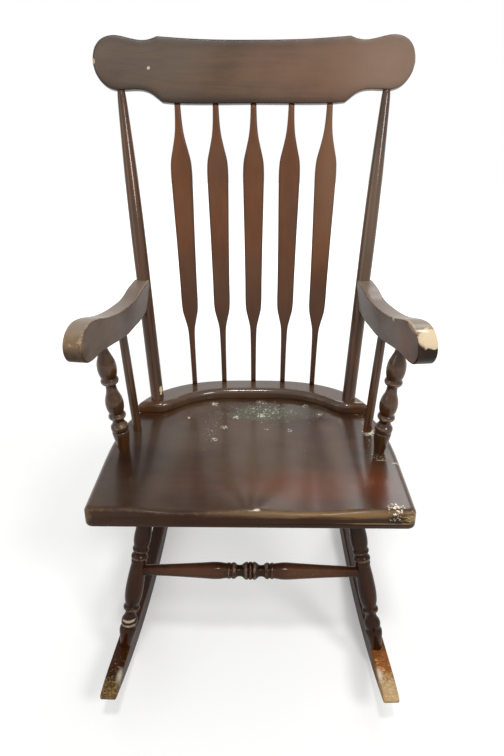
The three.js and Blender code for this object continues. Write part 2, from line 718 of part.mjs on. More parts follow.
for (const [sideName, side] of sides) {
  // Back post, through the rail into the seat below and into the crest's ear above
  const base = postBase(side);
  const top = postTop(side);
  const backPost = addTurned(`back_post_${sideName}`, base, top, postShares, post,
    rail.thickness + post.seatTenon, post.crestTenon, turnedSides);
  wholeSeat.cutBy([backPost]);
  wholeRail.cutBy([backPost]);
  wholeCrest.cutBy([backPost]);

  // Pin through the crest's back into the post's tenon
  const crestBack = new THREE.Vector3(0, 1, 0).transformDirection(crestPlace);
  const pinStart = top.clone().addScaledVector(top.clone().sub(base).normalize(), crestPin.rise)
    .addScaledVector(crestBack, crest.thickness / 2 - crestPin.sink);
  const pinEnd = pinStart.clone().addScaledVector(crestBack, -crestPin.length);
  const pin = add(`crest_pin_${sideName}`, finishes.pin, frameAlong(pinStart, pinEnd), (grow) => turning(
    [[grow > 0 ? -overrun : 0, crestPin.diameter], [crestPin.length, crestPin.diameter]],
    grow,
    screwSides,
  ));
  wholeCrest.cutBy([pin]);
  backPost.cutBy([pin]);

  // Arm with its turned post and its plain spindle
  const onSeatSide = ({ edgeInset, setback }) => onSeat(side * (seat.width / 2 - edgeInset), setback);
  const wholeArm = add(`arm_${sideName}`, finishes.sawn, armPlace(side), () => armShape(side));
  const turnedPost = addTurned(`arm_post_${sideName}`, onSeatSide(armPost),
    underArm(side, armPost.topSetback), armPostShares, armPost, armPost.seatTenon,
    armPost.armTenon, turnedSides);
  const plainSpindle = addTurned(`arm_spindle_${sideName}`, onSeatSide(armSpindle),
    underArm(side, armSpindle.topSetback), armSpindleShares, armSpindle, armSpindle.seatTenon,
    armSpindle.armTenon, slimSides);
  wholeSeat.cutBy([turnedPost, plainSpindle]);

  // Screw from behind the back post into the arm
  const forward = new THREE.Vector3(1, 0, 0).transformDirection(armPlace(side));
  const postMiddle = postAt(side, armScrewHeight);
  const armFixing = addScrew(`arm_screw_${sideName}`,
    postMiddle.clone().addScaledVector(forward, screw.sink - post.diameter / 2),
    postMiddle.clone().addScaledVector(forward, post.diameter / 2 + armScrew.grip));
  backPost.cutBy([armFixing]);
  wholeArm.cutBy([backPost, turnedPost, plainSpindle, armFixing]);

  // Rocker with its two legs, and a screw up through it into each
  const wholeRocker = add(`rocker_${sideName}`, finishes.sawn, rockerPlace(side), rockerShape);
  const ends = [
    ['front', leg.frontFootY, leg.frontTopInset, leg.frontTopY],
    ['rear', rail.endFront + leg.rearFootSetback, leg.rearTopInset, rail.endFront + leg.rearTopSetback],
  ];
  for (const [end, footY, topInset, topY] of ends) {
    const footX = side * (rockerCentre(footY) - leg.footInset);
    const foot = new THREE.Vector3(footX, footY, rockerTop(footY) - leg.footSink);
    const head = onSeat(side * (seat.width / 2 - topInset), topY, -seat.thickness);
    const piece = addLeg(`${end}_leg_${sideName}`, foot, head);
    const up = head.clone().sub(foot).normalize();
    const toFloor = (foot.z - rockerBottom(footY)) / up.z;
    const legFixing = addScrew(`rocker_screw_${end}_${sideName}`,
      foot.clone().addScaledVector(up, screw.sink - toFloor),
      foot.clone().addScaledVector(up, rockerScrew.grip));
    wholeSeat.cutBy([piece]);
    wholeRocker.cutBy([piece, legFixing]);
    piece.cutBy([legFixing]);
    legs[end].push({ piece, foot, top: head });
  }
}

addStretcher('front_stretcher', legs.front, frontStretcherShares);
addStretcher('rear_stretcher', legs.rear, rearStretcherShares);

// The origin is under the middle of the chair, on the floor
const group = new THREE.Group();
for (const piece of pieces.values()) group.add(piece.mesh());
const bounds = new THREE.Box3().setFromObject(group, true);
const origin = bounds.getCenter(new THREE.Vector3()).setZ(bounds.min.z);
for (const mesh of group.children) mesh.position.sub(origin);

export default group;
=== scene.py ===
"""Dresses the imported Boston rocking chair: fine turnings, boards and a saddled seat in worn, stained wood.

The CAD frame gives every place. Sizes here are in millimetres and become metres in the meshes.
X runs to the right as seen from the front, Y runs to the back and Z runs up.
"""

from __future__ import annotations

import json
import logging
import math
from collections.abc import Callable, Iterable, Sequence
from dataclasses import dataclass, field
from enum import Enum, IntEnum
from typing import ClassVar

import bmesh
import bpy
import numpy as np
from bpy.types import Material, Mesh, NodeSocket, Object
from mathutils import Matrix, Vector

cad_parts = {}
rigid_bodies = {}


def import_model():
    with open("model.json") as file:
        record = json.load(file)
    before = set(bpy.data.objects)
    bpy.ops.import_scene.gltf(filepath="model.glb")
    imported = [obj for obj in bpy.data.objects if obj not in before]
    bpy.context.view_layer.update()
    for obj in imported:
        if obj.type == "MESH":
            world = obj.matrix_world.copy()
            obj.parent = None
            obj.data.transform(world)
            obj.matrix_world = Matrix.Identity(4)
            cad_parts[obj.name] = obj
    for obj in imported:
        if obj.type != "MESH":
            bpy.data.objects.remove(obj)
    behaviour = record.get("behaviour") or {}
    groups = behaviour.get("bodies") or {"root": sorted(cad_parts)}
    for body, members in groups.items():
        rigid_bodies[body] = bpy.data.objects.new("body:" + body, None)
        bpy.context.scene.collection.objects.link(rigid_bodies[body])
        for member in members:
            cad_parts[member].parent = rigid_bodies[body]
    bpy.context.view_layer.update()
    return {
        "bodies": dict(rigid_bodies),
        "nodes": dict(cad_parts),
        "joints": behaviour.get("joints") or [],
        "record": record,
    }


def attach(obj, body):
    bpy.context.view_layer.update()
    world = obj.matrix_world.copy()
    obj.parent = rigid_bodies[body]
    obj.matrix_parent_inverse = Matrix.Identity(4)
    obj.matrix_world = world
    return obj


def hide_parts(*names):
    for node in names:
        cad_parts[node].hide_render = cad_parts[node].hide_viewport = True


LOG = logging.getLogger("rocking_chair")
MM = 0.001
ROOT_BODY = "root"
SIDES = ("left", "right")
WHITE = (1.0, 1.0, 1.0, 1.0)
# Corners nearer than this are one, in metres.
DOUBLES = 2e-6
# How far the figure of the wood moves on from blank to blank, and from copy to copy, in metres.
BLANK_STEP = (0.731, 0.419, 0.577)
COPY_STEP = (0.31, 0.47, 0.83)


class Slot(Enum):
    """Material slots of the record."""

    SEAT = "seat_wood"
    SAWN = "sawn_wood"
    TURNED = "turned_wood"
    PIN = "pin_wood"
    SCREW = "screw_steel"


class Mark(Enum):
    """Point values that the finishes read from a mesh."""

    # Edge mark: finishes rub it pale as wear or darken it as painted shade.
    EDGE = "worn_edge"
    GROOVE = "groove"
    WOOD = "wood_place"
    STRETCH = "stretch"
    UPWARD = "upward"


class Blank(IntEnum):
    """First number of the blanks that each kind of piece is cut from, so that none share their figure."""

    UNDER_TURNINGS = 1
    ROCKERS = 20
    SEAT = 30
    RAIL = 31
    BACK_POSTS = 40
    CREST = 42
    SPINDLES = 50
    PINS = 60
    ARMS = 70
    ARM_TURNINGS = 72


class Seed(IntEnum):
    """Seeds of the turns that repeated pieces are given about their axes."""

    SPINDLES = 5
    PINS = 6
    ROCKER_SCREWS = 11
    RAIL_SCREWS = 12
    ARM_SCREWS = 13


# Curves


def flowing(points: np.ndarray, per_span: int, closed: bool = False) -> np.ndarray:
    """Runs a smooth curve through points, with no overshoot where they lie close together.

    Args:
        points: One point a row.
        per_span: How many steps lie between two points.
        closed: Whether the curve runs back to its first point.

    Returns:
        Points of the curve, one a row, without the first point repeated on a closed curve.
    """
    if closed:
        before, start, end, after = (np.roll(points, shift, 0) for shift in (1, 0, -1, -2))
    else:
        padded = np.vstack([2 * points[0] - points[1], points, 2 * points[-1] - points[-2]])
        before, start, end, after = padded[:-3], padded[1:-2], padded[2:-1], padded[3:]

    def knot(one: np.ndarray, other: np.ndarray) -> np.ndarray:
        """Gives the centripetal knot gap between two points."""
        return np.maximum(np.linalg.norm(other - one, axis=1), 1e-9)[:, None] ** 0.5

    first, second, third = knot(before, start), knot(start, end), knot(end, after)
    out = ((start - before) / first - (end - before) / (first + second) + (end - start) / second) * second
    into = ((end - start) / second - (after - start) / (second + third) + (after - end) / third) * second
    way = (np.arange(per_span) / per_span)[None, :, None]
    curve = (
        (2 * way**3 - 3 * way**2 + 1) * start[:, None]
        + (way**3 - 2 * way**2 + way) * out[:, None]
        + (3 * way**2 - 2 * way**3) * end[:, None]
        + (way**3 - way**2) * into[:, None]
    ).reshape(-1, points.shape[1])
    return curve if closed else np.vstack([curve, points[-1]])


def smoothstep(value: np.ndarray, low: float, high: float) -> np.ndarray:
    """Eases from 0 at low to 1 at high."""
    share = np.clip((value - low) / (high - low), 0, 1)
    return share * share * (3 - 2 * share)


def rounding(radius: float, steps: int) -> list[tuple[float, float]]:
    """Follows a rounded edge from a face to the wall beside it.

    Args:
        radius: Radius of the edge.
        steps: How many steps the quarter turn has.

    Returns:
        How far inside the wall and how far behind the face each step lies.
    """
    turns = [i / steps * math.pi / 2 for i in range(steps + 1)]
    return [(radius * (1 - math.sin(turn)), radius * (1 - math.cos(turn))) for turn in turns]


def inset(outline: np.ndarray, distance: float) -> np.ndarray:
    """Moves a closed outline inwards. Loops where it would cross itself are drawn to the crossing.

    Args:
        outline: Points of the outline, anticlockwise.
        distance: How far it moves.

    Returns:
        The moved outline, point for point.
    """
    ahead = np.roll(outline, -1, 0) - outline
    ahead = ahead / np.linalg.norm(ahead, axis=1)[:, None]
    both = ahead + np.roll(ahead, 1, 0)
    inward = np.stack([-both[:, 1], both[:, 0]], 1) / np.linalg.norm(both, axis=1)[:, None]
    cosine = np.clip(inward[:, 1] * ahead[:, 0] - inward[:, 0] * ahead[:, 1], 0.5, 1)
    moved = outline + inward * (distance / cosine)[:, None]
    span = np.roll(moved, -1, 0) - moved
    gap = moved[None] - moved[:, None]
    crossed = span[:, None, 0] * span[None, :, 1] - span[:, None, 1] * span[None, :, 0]
    crossed[crossed == 0] = np.inf
    share = (gap[..., 0] * span[None, :, 1] - gap[..., 1] * span[None, :, 0]) / crossed
    other = (gap[..., 0] * span[:, None, 1] - gap[..., 1] * span[:, None, 0]) / crossed
    count = len(moved)
    steps = (np.arange(count)[None] - np.arange(count)[:, None]) % count
    meets = (share > 0) & (share < 1) & (other > 0) & (other < 1) & (steps > 1) & (steps < count / 4)
    drawn = moved.copy()
    for i, j in sorted(np.argwhere(meets).tolist(), key=lambda pair: steps[pair[0], pair[1]]):
        drawn[np.arange(i + 1, i + 1 + steps[i, j]) % count] = moved[i] + span[i] * share[i, j]
    return drawn


# Meshes


@dataclass
class Ring:
    """One closed ring of points of a skin, with the marks of all its points."""

    points: np.ndarray
    edge: float | np.ndarray = 0.0
    groove: float | np.ndarray = 0.0


def linked(name: str, data: bpy.types.ID) -> Object:
    """Makes an object of some data and links it to the scene.

    Args:
        name: Name of the object.
        data: Its mesh, lamp or camera.

    Returns:
        The new object.
    """
    made = bpy.data.objects.new(name, data)
    bpy.context.scene.collection.objects.link(made)
    return made


def store(mesh: Mesh, name: str, values: Sequence[float] | np.ndarray) -> None:
    """Stores a value or a vector on each point of a mesh.

    Args:
        mesh: The mesh.
        name: Name of the stored attribute.
        values: One number, or one row of three, for each point.
    """
    table = np.array(values, np.float32)
    kind, member = ("FLOAT", "value") if table.ndim == 1 else ("FLOAT_VECTOR", "vector")
    mesh.attributes.new(name, kind, "POINT").data.foreach_set(member, table.ravel())


def round_rings(stations: Iterable[tuple[float, float]], sides: int) -> list[Ring]:
    """Makes round rings about Z.

    Args:
        stations: Height and radius of each ring, in millimetres.
        sides: How many points a ring has.

    Returns:
        The rings, in metres.
    """
    turn = np.arange(sides) / sides * math.tau
    return [
        Ring(np.column_stack([radius * np.cos(turn), radius * np.sin(turn), np.full(sides, height)]) * MM)
        for height, radius in stations
    ]


def skin(name: str, rings: Sequence[Ring], fan: bool, finished: bool = True) -> Object:
    """Makes a closed mesh from rings of points in metres.

    Args:
        name: Name of the object.
        rings: Rings that all hold the same count of points, in order.
        fan: Whether the ends close to a middle point, or else with one flat face.
        finished: Whether to merge doubles and turn the faces outwards at once.

    Returns:
        The new object, shaded smooth, with its marks on its points.
    """
    count = len(rings[0].points)
    points = np.vstack([ring.points for ring in rings])
    faces = []
    for row in range(len(rings) - 1):
        for column in range(count):
            after = (column + 1) % count
            low, high = row * count, (row + 1) * count
            faces.append((low + column, low + after, high + after, high + column))
    marks = {
        Mark.EDGE: np.concatenate([np.broadcast_to(ring.edge, count) for ring in rings]),
        Mark.GROOVE: np.concatenate([np.broadcast_to(ring.groove, count) for ring in rings]),
    }
    last = (len(rings) - 1) * count
    if fan:
        for ring, start in ((rings[0], 0), (rings[-1], last)):
            middle = len(points)
            points = np.vstack([points, ring.points.mean(0)])
            marks = {mark: np.append(values, 0.0) for mark, values in marks.items()}
            faces += [(start + column, start + (column + 1) % count, middle) for column in range(count)]
    else:
        faces += [tuple(range(count)), tuple(range(last, last + count))]
    mesh = bpy.data.meshes.new(name)
    mesh.from_pydata(points.tolist(), [], faces)
    for mark, values in marks.items():
        store(mesh, mark.value, values)
    if finished:
        turn_outwards(mesh)
    mesh.shade_smooth()
    return linked(name, mesh)


def turn_outwards(mesh: Mesh) -> None:
    """Merges the doubles of a closed mesh and turns every face outwards.

    Args:
        mesh: The mesh, which is changed.
    """
    edit = bmesh.new()
    edit.from_mesh(mesh)
    bmesh.ops.remove_doubles(edit, verts=edit.verts, dist=DOUBLES)
    bmesh.ops.recalc_face_normals(edit, faces=edit.faces)
    edit.to_mesh(mesh)
    edit.free()


def node_points(node: Object) -> np.ndarray:
    """Gives the separate corner points of a CAD node, in metres."""
    points = np.array([vertex.co for vertex in node.data.vertices])
    return np.unique(points.round(5), axis=0)


# Turned pieces


@dataclass(frozen=True)
class Turning:
    """A turning read from a CAD node: its axis, and its radius at each station along it, in metres."""

    RING_GAPS: ClassVar[tuple[float, ...]] = (0.6 * MM, 0.3 * MM, 0.1 * MM)
    ROUND_WITHIN: ClassVar[float] = 0.15 * MM
    FULL_SHARE: ClassVar[float] = 0.6
    FEWEST: ClassVar[int] = 6
    UPRIGHT: ClassVar[float] = 0.5

    start: np.ndarray
    along: np.ndarray
    stations: np.ndarray

    @classmethod
    def read(cls, node: Object, least_radius: float = 3.2 * MM) -> Turning:
        """Finds the axis and the stations of a node whose corners lie in rings.

        Args:
            node: The CAD node.
            least_radius: Rings narrower than this are the walls of a screw's hole.

        Returns:
            The node's turning.
        """
        points = node_points(node)
        middle = points.mean(0)
        along = np.linalg.svd(points - middle)[2][0]
        for gap in cls.RING_GAPS:
            groups = cls._groups(points, middle, along, gap)
            usual = np.bincount([len(group) for group in groups if len(group) >= cls.FEWEST]).argmax()
            centres = np.array([group.mean(0) for group in groups if len(group) == usual])
            middle = centres.mean(0)
            along = np.linalg.svd(centres - middle)[2][0]
        if along[2] < -cls.UPRIGHT or (abs(along[2]) <= cls.UPRIGHT and along[0] < 0):
            along = -along
        stations = []
        for group in cls._groups(points, middle, along, cls.RING_GAPS[-1]):
            reach = (group - middle) @ along
            radii = np.linalg.norm(group - middle - reach[:, None] * along, axis=1)
            full = np.count_nonzero(radii > radii.max() - cls.ROUND_WITHIN)
            if full >= cls.FULL_SHARE * usual and radii.max() > least_radius:
                stations.append((reach.mean(), radii.max()))
        table = np.array(stations)
        return cls(middle + table[0, 0] * along, along, table - [table[0, 0], 0])

    @staticmethod
    def _groups(points: np.ndarray, middle: np.ndarray, along: np.ndarray, gap: float) -> list[np.ndarray]:
        """Splits points into groups wherever their reach along the axis jumps by more than a gap.

        Args:
            points: One point a row.
            middle: A point on the axis.
            along: Direction of the axis.
            gap: The widest gap inside a group, in metres.

        Returns:
            The groups, in their order along the axis.
        """
        reach = (points - middle) @ along
        order = np.argsort(reach)
        breaks = np.flatnonzero(np.diff(reach[order]) > gap) + 1
        return np.split(points[order], breaks)

    def across(self) -> tuple[np.ndarray, np.ndarray]:
        """Finds the two directions across the axis.

        Returns:
            The one to the right, and the one as near to the back as can be.
        """
        right = np.cross([0.0, 1.0, 0.0], self.along)
        right = right / np.linalg.norm(right)
        return right, np.cross(self.along, right)

    def profile(self, per_span: int = 6) -> np.ndarray:
        """Gives the smooth profile through the stations."""
        return flowing(self.stations, per_span)


@dataclass(frozen=True)
class TurnedPiece:
    """A turned piece whose fine mesh follows the profile of its CAD node."""

    name: str
    segments: int = 56
    bead_bend: float = 0.5
    bead_spread: float = 4.0

    def build(self, turning: Turning) -> Object:
        """Makes the fine turning.

        Args:
            turning: What was read from its CAD node.

        Returns:
            The new piece.
        """
        right, back = turning.across()
        profile = turning.profile()
        # Beads are marked for wear; grooves for grime and painted shade.
        edge, groove = self._beads_and_grooves(profile)
        turn = np.arange(self.segments) / self.segments * math.tau
        around = np.cos(turn)[:, None] * right + np.sin(turn)[:, None] * back
        rings = [
            Ring(turning.start + reach * turning.along + radius * around, edge[i], groove[i])
            for i, (reach, radius) in enumerate(profile)
        ]
        return skin(f"{self.name}_turned", rings, fan=True)

    def _beads_and_grooves(self, profile: np.ndarray) -> tuple[np.ndarray, np.ndarray]:
        """Finds how far each place stands out as a bead or lies back in a groove.

        Args:
            profile: Reach and radius of each place, in metres.

        Returns:
            The marks of the beads and of the grooves.
        """
        reach, radius = profile[:, 0], profile[:, 1]
        weight = np.exp(-(((reach[:, None] - reach[None, :]) / (self.bead_spread * MM)) ** 2))
        gaps = np.gradient(reach)
        mean = (weight * gaps) @ radius / (weight @ gaps)
        stands = (radius - mean) / (self.bead_bend * MM)
        return np.clip(stands, 0, 1), np.clip(-stands, 0, 1)


# Boards


@dataclass(frozen=True)
class Board:
    """A flat sawn piece whose outline is read from a slice through its CAD node."""

    name: str
    edge_radius: float
    slice_share: float = 0.7
    per_span: int = 5
    corner: float = math.radians(38)
    wear_reach: float = 5.0
    edge_steps: int = 4
    level_within: float = 0.02
    parallel: float = 0.9999
    straight: float = math.radians(0.05)

    def build(self, frame: dict) -> Object:
        """Makes the board with round edges and a smooth outline.


        Returns:
            The new piece.
        """
        node = frame["nodes"][self.name]
        points = node_points(node)
        normal = self._thickness_direction(node)
        if normal @ points.mean(0) < 0:
            normal = -normal
        across = points @ normal
        middle, half = (across.max() + across.min()) / 2, (across.max() - across.min()) / 2
        up = np.array([0.0, 0.0, 1.0])
        along = np.cross(up, normal)
        outline = self._smooth(self._slice(node, normal, middle + self.slice_share * half, along, up))
        radius = self.edge_radius * MM

        def ring(distance: float, height: float, edge: float) -> Ring:
            """Places the outline, moved inwards, at a height through the thickness."""
            flat = inset(outline, distance)
            return Ring(flat[:, :1] * along + flat[:, 1:] * up + (middle + height) * normal, edge)

        rounded = rounding(radius, self.edge_steps)
        rings = [ring(self.wear_reach * MM, -half, 0.0), ring(radius * 1.1, -half, 0.6)]
        rings += [ring(inwards, deep - half, 1.0) for inwards, deep in rounded]
        rings += [ring(0.0, share * (half - radius), 0.3 * abs(share)) for share in (-0.5, 0.0, 0.5)]
        rings += [ring(inwards, half - deep, 1.0) for inwards, deep in reversed(rounded)]
        rings += [ring(radius * 1.1, half, 0.6), ring(self.wear_reach * MM, half, 0.0)]
        return skin(f"{self.name}_sawn", rings, fan=False)

    def _thickness_direction(self, node: Object) -> np.ndarray:
        """Finds the level direction that the largest area of the node faces.

        Args:
            node: The CAD node.

        Returns:
            The direction, of length 1.
        """
        normals = np.array([face.normal for face in node.data.polygons])
        areas = np.array([face.area for face in node.data.polygons])
        level = np.abs(normals[:, 2]) < self.level_within
        best = max(normals[level], key=lambda normal: areas[np.abs(normals @ normal) > self.parallel].sum())
        return best / np.linalg.norm(best)

    @staticmethod
    def _slice(
        node: Object, normal: np.ndarray, offset: float, along: np.ndarray, up: np.ndarray
    ) -> np.ndarray:
        """Cuts the node with a plane.

        Args:
            node: The CAD node.
            normal: Direction square to the plane.
            offset: How far out the plane lies.
            along: First direction of the outline.
            up: Second direction of the outline.

        Returns:
            The cut's outline, anticlockwise.
        """
        corners = np.array([vertex.co for vertex in node.data.vertices])
        links: dict[tuple, list[tuple]] = {}
        for face in node.data.polygons:
            triangle = corners[list(face.vertices)]
            side = triangle @ normal - offset
            crossing = []
            for i in range(3):
                j = (i + 1) % 3
                if (side[i] > 0) != (side[j] > 0):
                    point = triangle[i] + (triangle[j] - triangle[i]) * side[i] / (side[i] - side[j])
                    crossing.append((round(float(point @ along), 6), round(float(point @ up), 6)))
            if len(crossing) == 2 and crossing[0] != crossing[1]:
                links.setdefault(crossing[0], []).append(crossing[1])
                links.setdefault(crossing[1], []).append(crossing[0])
        start = min(links)
        loop, last = [start], None
        while True:
            ahead = [point for point in links[loop[-1]] if point != last]
            last = loop[-1]
            if not ahead or ahead[0] == start:
                break
            loop.append(ahead[0])
        outline = np.array(loop)
        ahead = np.roll(outline, -1, 0)
        area = np.sum(outline[:, 0] * ahead[:, 1] - outline[:, 1] * ahead[:, 0])
        return outline if area > 0 else outline[::-1]

    def _smooth(self, outline: np.ndarray) -> np.ndarray:
        """Drops points on straight lines and rounds the outline between its true corners.

        Args:
            outline: Points of the outline.

        Returns:
            The smooth outline.
        """

        def turns(points: np.ndarray) -> np.ndarray:
            """Measures how far an outline turns at each point.

            Args:
                points: Points of the outline.

            Returns:
                The turn at each point, in radians.
            """
            ahead = np.roll(points, -1, 0) - points
            behind = points - np.roll(points, 1, 0)
            angle = np.arctan2(ahead[:, 1], ahead[:, 0]) - np.arctan2(behind[:, 1], behind[:, 0])
            return np.abs((angle + math.pi) % math.tau - math.pi)

        outline = outline[turns(outline) > self.straight]
        corners = np.flatnonzero(turns(outline) > self.corner)
        if not len(corners):
            return flowing(outline, self.per_span, closed=True)
        outline = np.roll(outline, -corners[0], 0)
        breaks = [*(corners - corners[0]), len(outline)]
        looped = np.vstack([outline, outline[:1]])
        runs = [flowing(looped[low : high + 1], self.per_span)[:-1] for low, high in zip(breaks, breaks[1:])]
        return np.vstack(runs)


# Seat and rail


@dataclass(frozen=True)
class SeatPlan:
    """Plan of the seat and of the rail on it, in the seat's own frame: X across, Y back, Z up."""

    front_y: float = -308.513
    front_height: float = 412.0
    slope: float = math.radians(2.8)
    half_width: float = 277.5
    rail_half_width: float = 246.0
    rail_front: float = 354.0
    rear_bulge: float = 131.5
    rear_roundness: float = 2.87
    rear_fullness: float = 0.7
    front_rise: float = 73.5
    front_roundness: float = 3.15
    horn_length: float = 64.0

    def rear_edge(self, across: np.ndarray, lip: float = 0.0) -> np.ndarray:
        """Follows the rear edge of the rail, or of the seat under it.

        Args:
            across: Places across the seat.
            lip: How far the seat stands out behind the rail.

        Returns:
            How far back the edge lies at each place.
        """
        share = np.minimum(np.abs(across) / (self.rail_half_width + lip), 1)
        bulge = (1 - share**self.rear_roundness) ** self.rear_fullness
        return self.rail_front + (self.rear_bulge + lip) * bulge

    def front_edge(self, across: np.ndarray) -> np.ndarray:
        """Gives how far back the rail's front edge lies."""
        share = np.minimum(np.abs(across) / (self.rail_half_width - self.horn_length), 1)
        return self.rail_front + self.front_rise * (1 - share**self.front_roundness)

    def place(self, local: np.ndarray) -> np.ndarray:
        """Brings points of the seat's frame, in millimetres, to the chair, in metres."""
        turn = np.array(Matrix.Rotation(-self.slope, 3, "X"))
        return (local @ turn.T + [0, self.front_y, self.front_height]) * MM


def mirrored(half: np.ndarray) -> np.ndarray:
    """Closes an outline whose right half runs from the front middle to the rear middle."""
    other = half[1:-1][::-1] * [-1, 1]
    return np.vstack([half, other])


@dataclass(frozen=True)
class Seat:
    """The plank seat with its saddle, its two thigh scoops and its rolled edges."""

    plan: SeatPlan = field(default_factory=SeatPlan)
    thickness: float = 36.5
    corner_radius: float = 15.0
    top_radius: float = 11.0
    bottom_radius: float = 5.0
    rear_lip: float = 3.0
    side_shares: tuple[tuple[float, float], ...] = (
        (0.999, 0.3), (0.995, 0.6), (0.973, 0.8), (0.936, 0.93),
    )
    edge_steps: int = 7
    top_rings: int = 42
    across_steps: int = 90
    corner_steps: int = 9
    side_steps: int = 12
    rear_start: int = 4
    scoop_depth: float = 7.0
    scoop_edge_inset: float = 60.0
    scoop_side_run: float = 105.0
    scoop_rear_run: float = 70.0
    pommel_half_width: float = 46.0
    pommel_length: float = 115.0

    def scoop(self, flat: np.ndarray) -> np.ndarray:
        """Hollows the top on both sides of the pommel.

        Args:
            flat: Places across and back, one a row.

        Returns:
            How deep the top lies at each place.
        """
        across, back = flat[:, 0], flat[:, 1]
        inwards = self.plan.half_width - self.scoop_edge_inset - np.abs(across)
        side = smoothstep(inwards, 0, self.scoop_side_run)
        rear = smoothstep(self.plan.front_edge(across) - back, 0, self.scoop_rear_run)
        pommel = np.exp(-((across / self.pommel_half_width) ** 2))
        pommel *= 1 - smoothstep(back, 0, self.pommel_length)
        return self.scoop_depth * side * rear * (1 - pommel)

    def outline(self) -> np.ndarray:
        """Draws the seat's outline.

        Returns:
            The outline, anticlockwise from the front middle.
        """
        half, corner = self.plan.half_width, self.corner_radius
        steps = self.across_steps
        front = np.stack([np.linspace(0, half - corner, steps, endpoint=False), np.zeros(steps)], 1)
        turn = np.linspace(0, math.pi / 2, self.corner_steps)
        arc = np.stack([half - corner + corner * np.sin(turn), corner - corner * np.cos(turn)], 1)
        rear_half = self.plan.rail_half_width + self.rear_lip
        across = rear_half * np.sin(np.linspace(math.pi / 2, 0, steps)[self.rear_start :])
        rear = np.stack([across, self.plan.rear_edge(across, self.rear_lip)], 1)
        sides = np.array(self.side_shares) * [half, self.plan.rail_front]
        side = flowing(np.vstack([arc[-1:], sides, rear[:1]]), self.side_steps)[1:-1]
        return mirrored(np.vstack([front, arc, side, rear]))

    def build(self) -> Object:
        """Makes the seat's fine mesh.

        Returns:
            The new piece.
        """
        outline = self.outline()
        centre = np.array([0, self.plan.rear_edge(np.zeros(1))[0] / 2])
        low, high = self.bottom_radius, self.top_radius

        def ring(distance: float, share: float, height: float, scooped: bool, edge: float) -> Ring:
            """Places the outline, moved inwards and then drawn in to the centre.

            Args:
                distance: How far it moves inwards.
                share: How far out from the centre it stays.
                height: Height over the seat's top.
                scooped: Whether it follows the hollowed top.
                edge: Its mark as a worn edge.

            Returns:
                The ring.
            """
            flat = centre + (inset(outline, distance) - centre) * share
            level = height - (self.scoop(flat) if scooped else 0.0)
            return Ring(self.plan.place(np.column_stack([flat, np.broadcast_to(level, len(flat))])), edge)

        steps, bottom = self.edge_steps, -self.thickness
        rings = [ring(low, share, bottom, False, edge) for share, edge in ((0.9, 0), (0.975, 0.2))]
        rings += [ring(inwards, 1, bottom + deep, False, 0.7) for inwards, deep in rounding(low, steps)]
        for i, (inwards, deep) in enumerate(reversed(rounding(high, steps))):
            rings.append(ring(inwards, 1, -deep, True, math.sin(i / steps * math.pi)))
        shares = (0.99, 0.975, *np.linspace(0.955, 0.02, self.top_rings))
        rings += [ring(high, share, 0, True, 0) for share in shares]
        return skin("seat_plank", rings, fan=True)


@dataclass(frozen=True)
class Rail:
    """The crescent rail on the rear of the seat, with a rolled upper edge."""

    plan: SeatPlan = field(default_factory=SeatPlan)
    thickness: float = 22.0
    gap: float = 0.3
    edge_radius: float = 11.0
    foot_radius: float = 0.8
    corner_bend: float = 22.0
    edge_steps: int = 8
    curve_steps: int = 50
    bend_steps: int = 14
    horn_steps: int = 12
    rear_steps: int = 90

    def outline(self) -> np.ndarray:
        """Draws the rail's outline.

        Returns:
            The outline, anticlockwise from the front middle.
        """
        curve = self.plan.rail_half_width - self.plan.horn_length
        bend = self.corner_bend
        across = (curve - bend) * np.sin(np.linspace(0, math.pi / 2, self.curve_steps))
        front = np.stack([across, self.plan.front_edge(across)], 1)
        corner = np.array([curve, self.plan.rail_front])
        way = np.linspace(0, 1, self.bend_steps)[1:, None]
        turn = (1 - way) ** 2 * front[-1] + 2 * way * (1 - way) * corner + way**2 * (corner + [bend, 0])
        front = np.vstack([front, turn])
        horn_across = np.linspace(curve + bend, self.plan.rail_half_width, self.horn_steps)
        horn = np.stack([horn_across, np.full(self.horn_steps, self.plan.rail_front)], 1)
        back = self.plan.rail_half_width * np.sin(np.linspace(math.pi / 2, 0, self.rear_steps)[1:])
        rear = np.stack([back, self.plan.rear_edge(back)], 1)
        return mirrored(np.vstack([front, horn[1:], rear]))

    def build(self) -> Object:
        """Makes the rail's fine mesh.

        Returns:
            The new piece.
        """
        outline = self.outline()

        def ring(distance: float, height: float, edge: float) -> Ring:
            """Places the outline, moved inwards, at a height above the seat."""
            heights = np.full(len(outline), self.gap + height)
            return Ring(self.plan.place(np.column_stack([inset(outline, distance), heights])), edge)

        foot, radius, top = self.foot_radius, self.edge_radius, self.thickness
        rings = [ring(6, 0, 0), ring(foot, 0, 0.2), ring(0, foot, 0.3), ring(0, (top - radius) / 2, 0.2)]
        rounded = reversed(rounding(radius, self.edge_steps))
        rings += [ring(inwards, top - deep, 0.8) for inwards, deep in rounded]
        rings += [ring(radius + 0.4, top, 0.3), ring(radius + 3, top, 0)]
        return skin("rear_rail_sawn", rings, fan=False)


# Crest


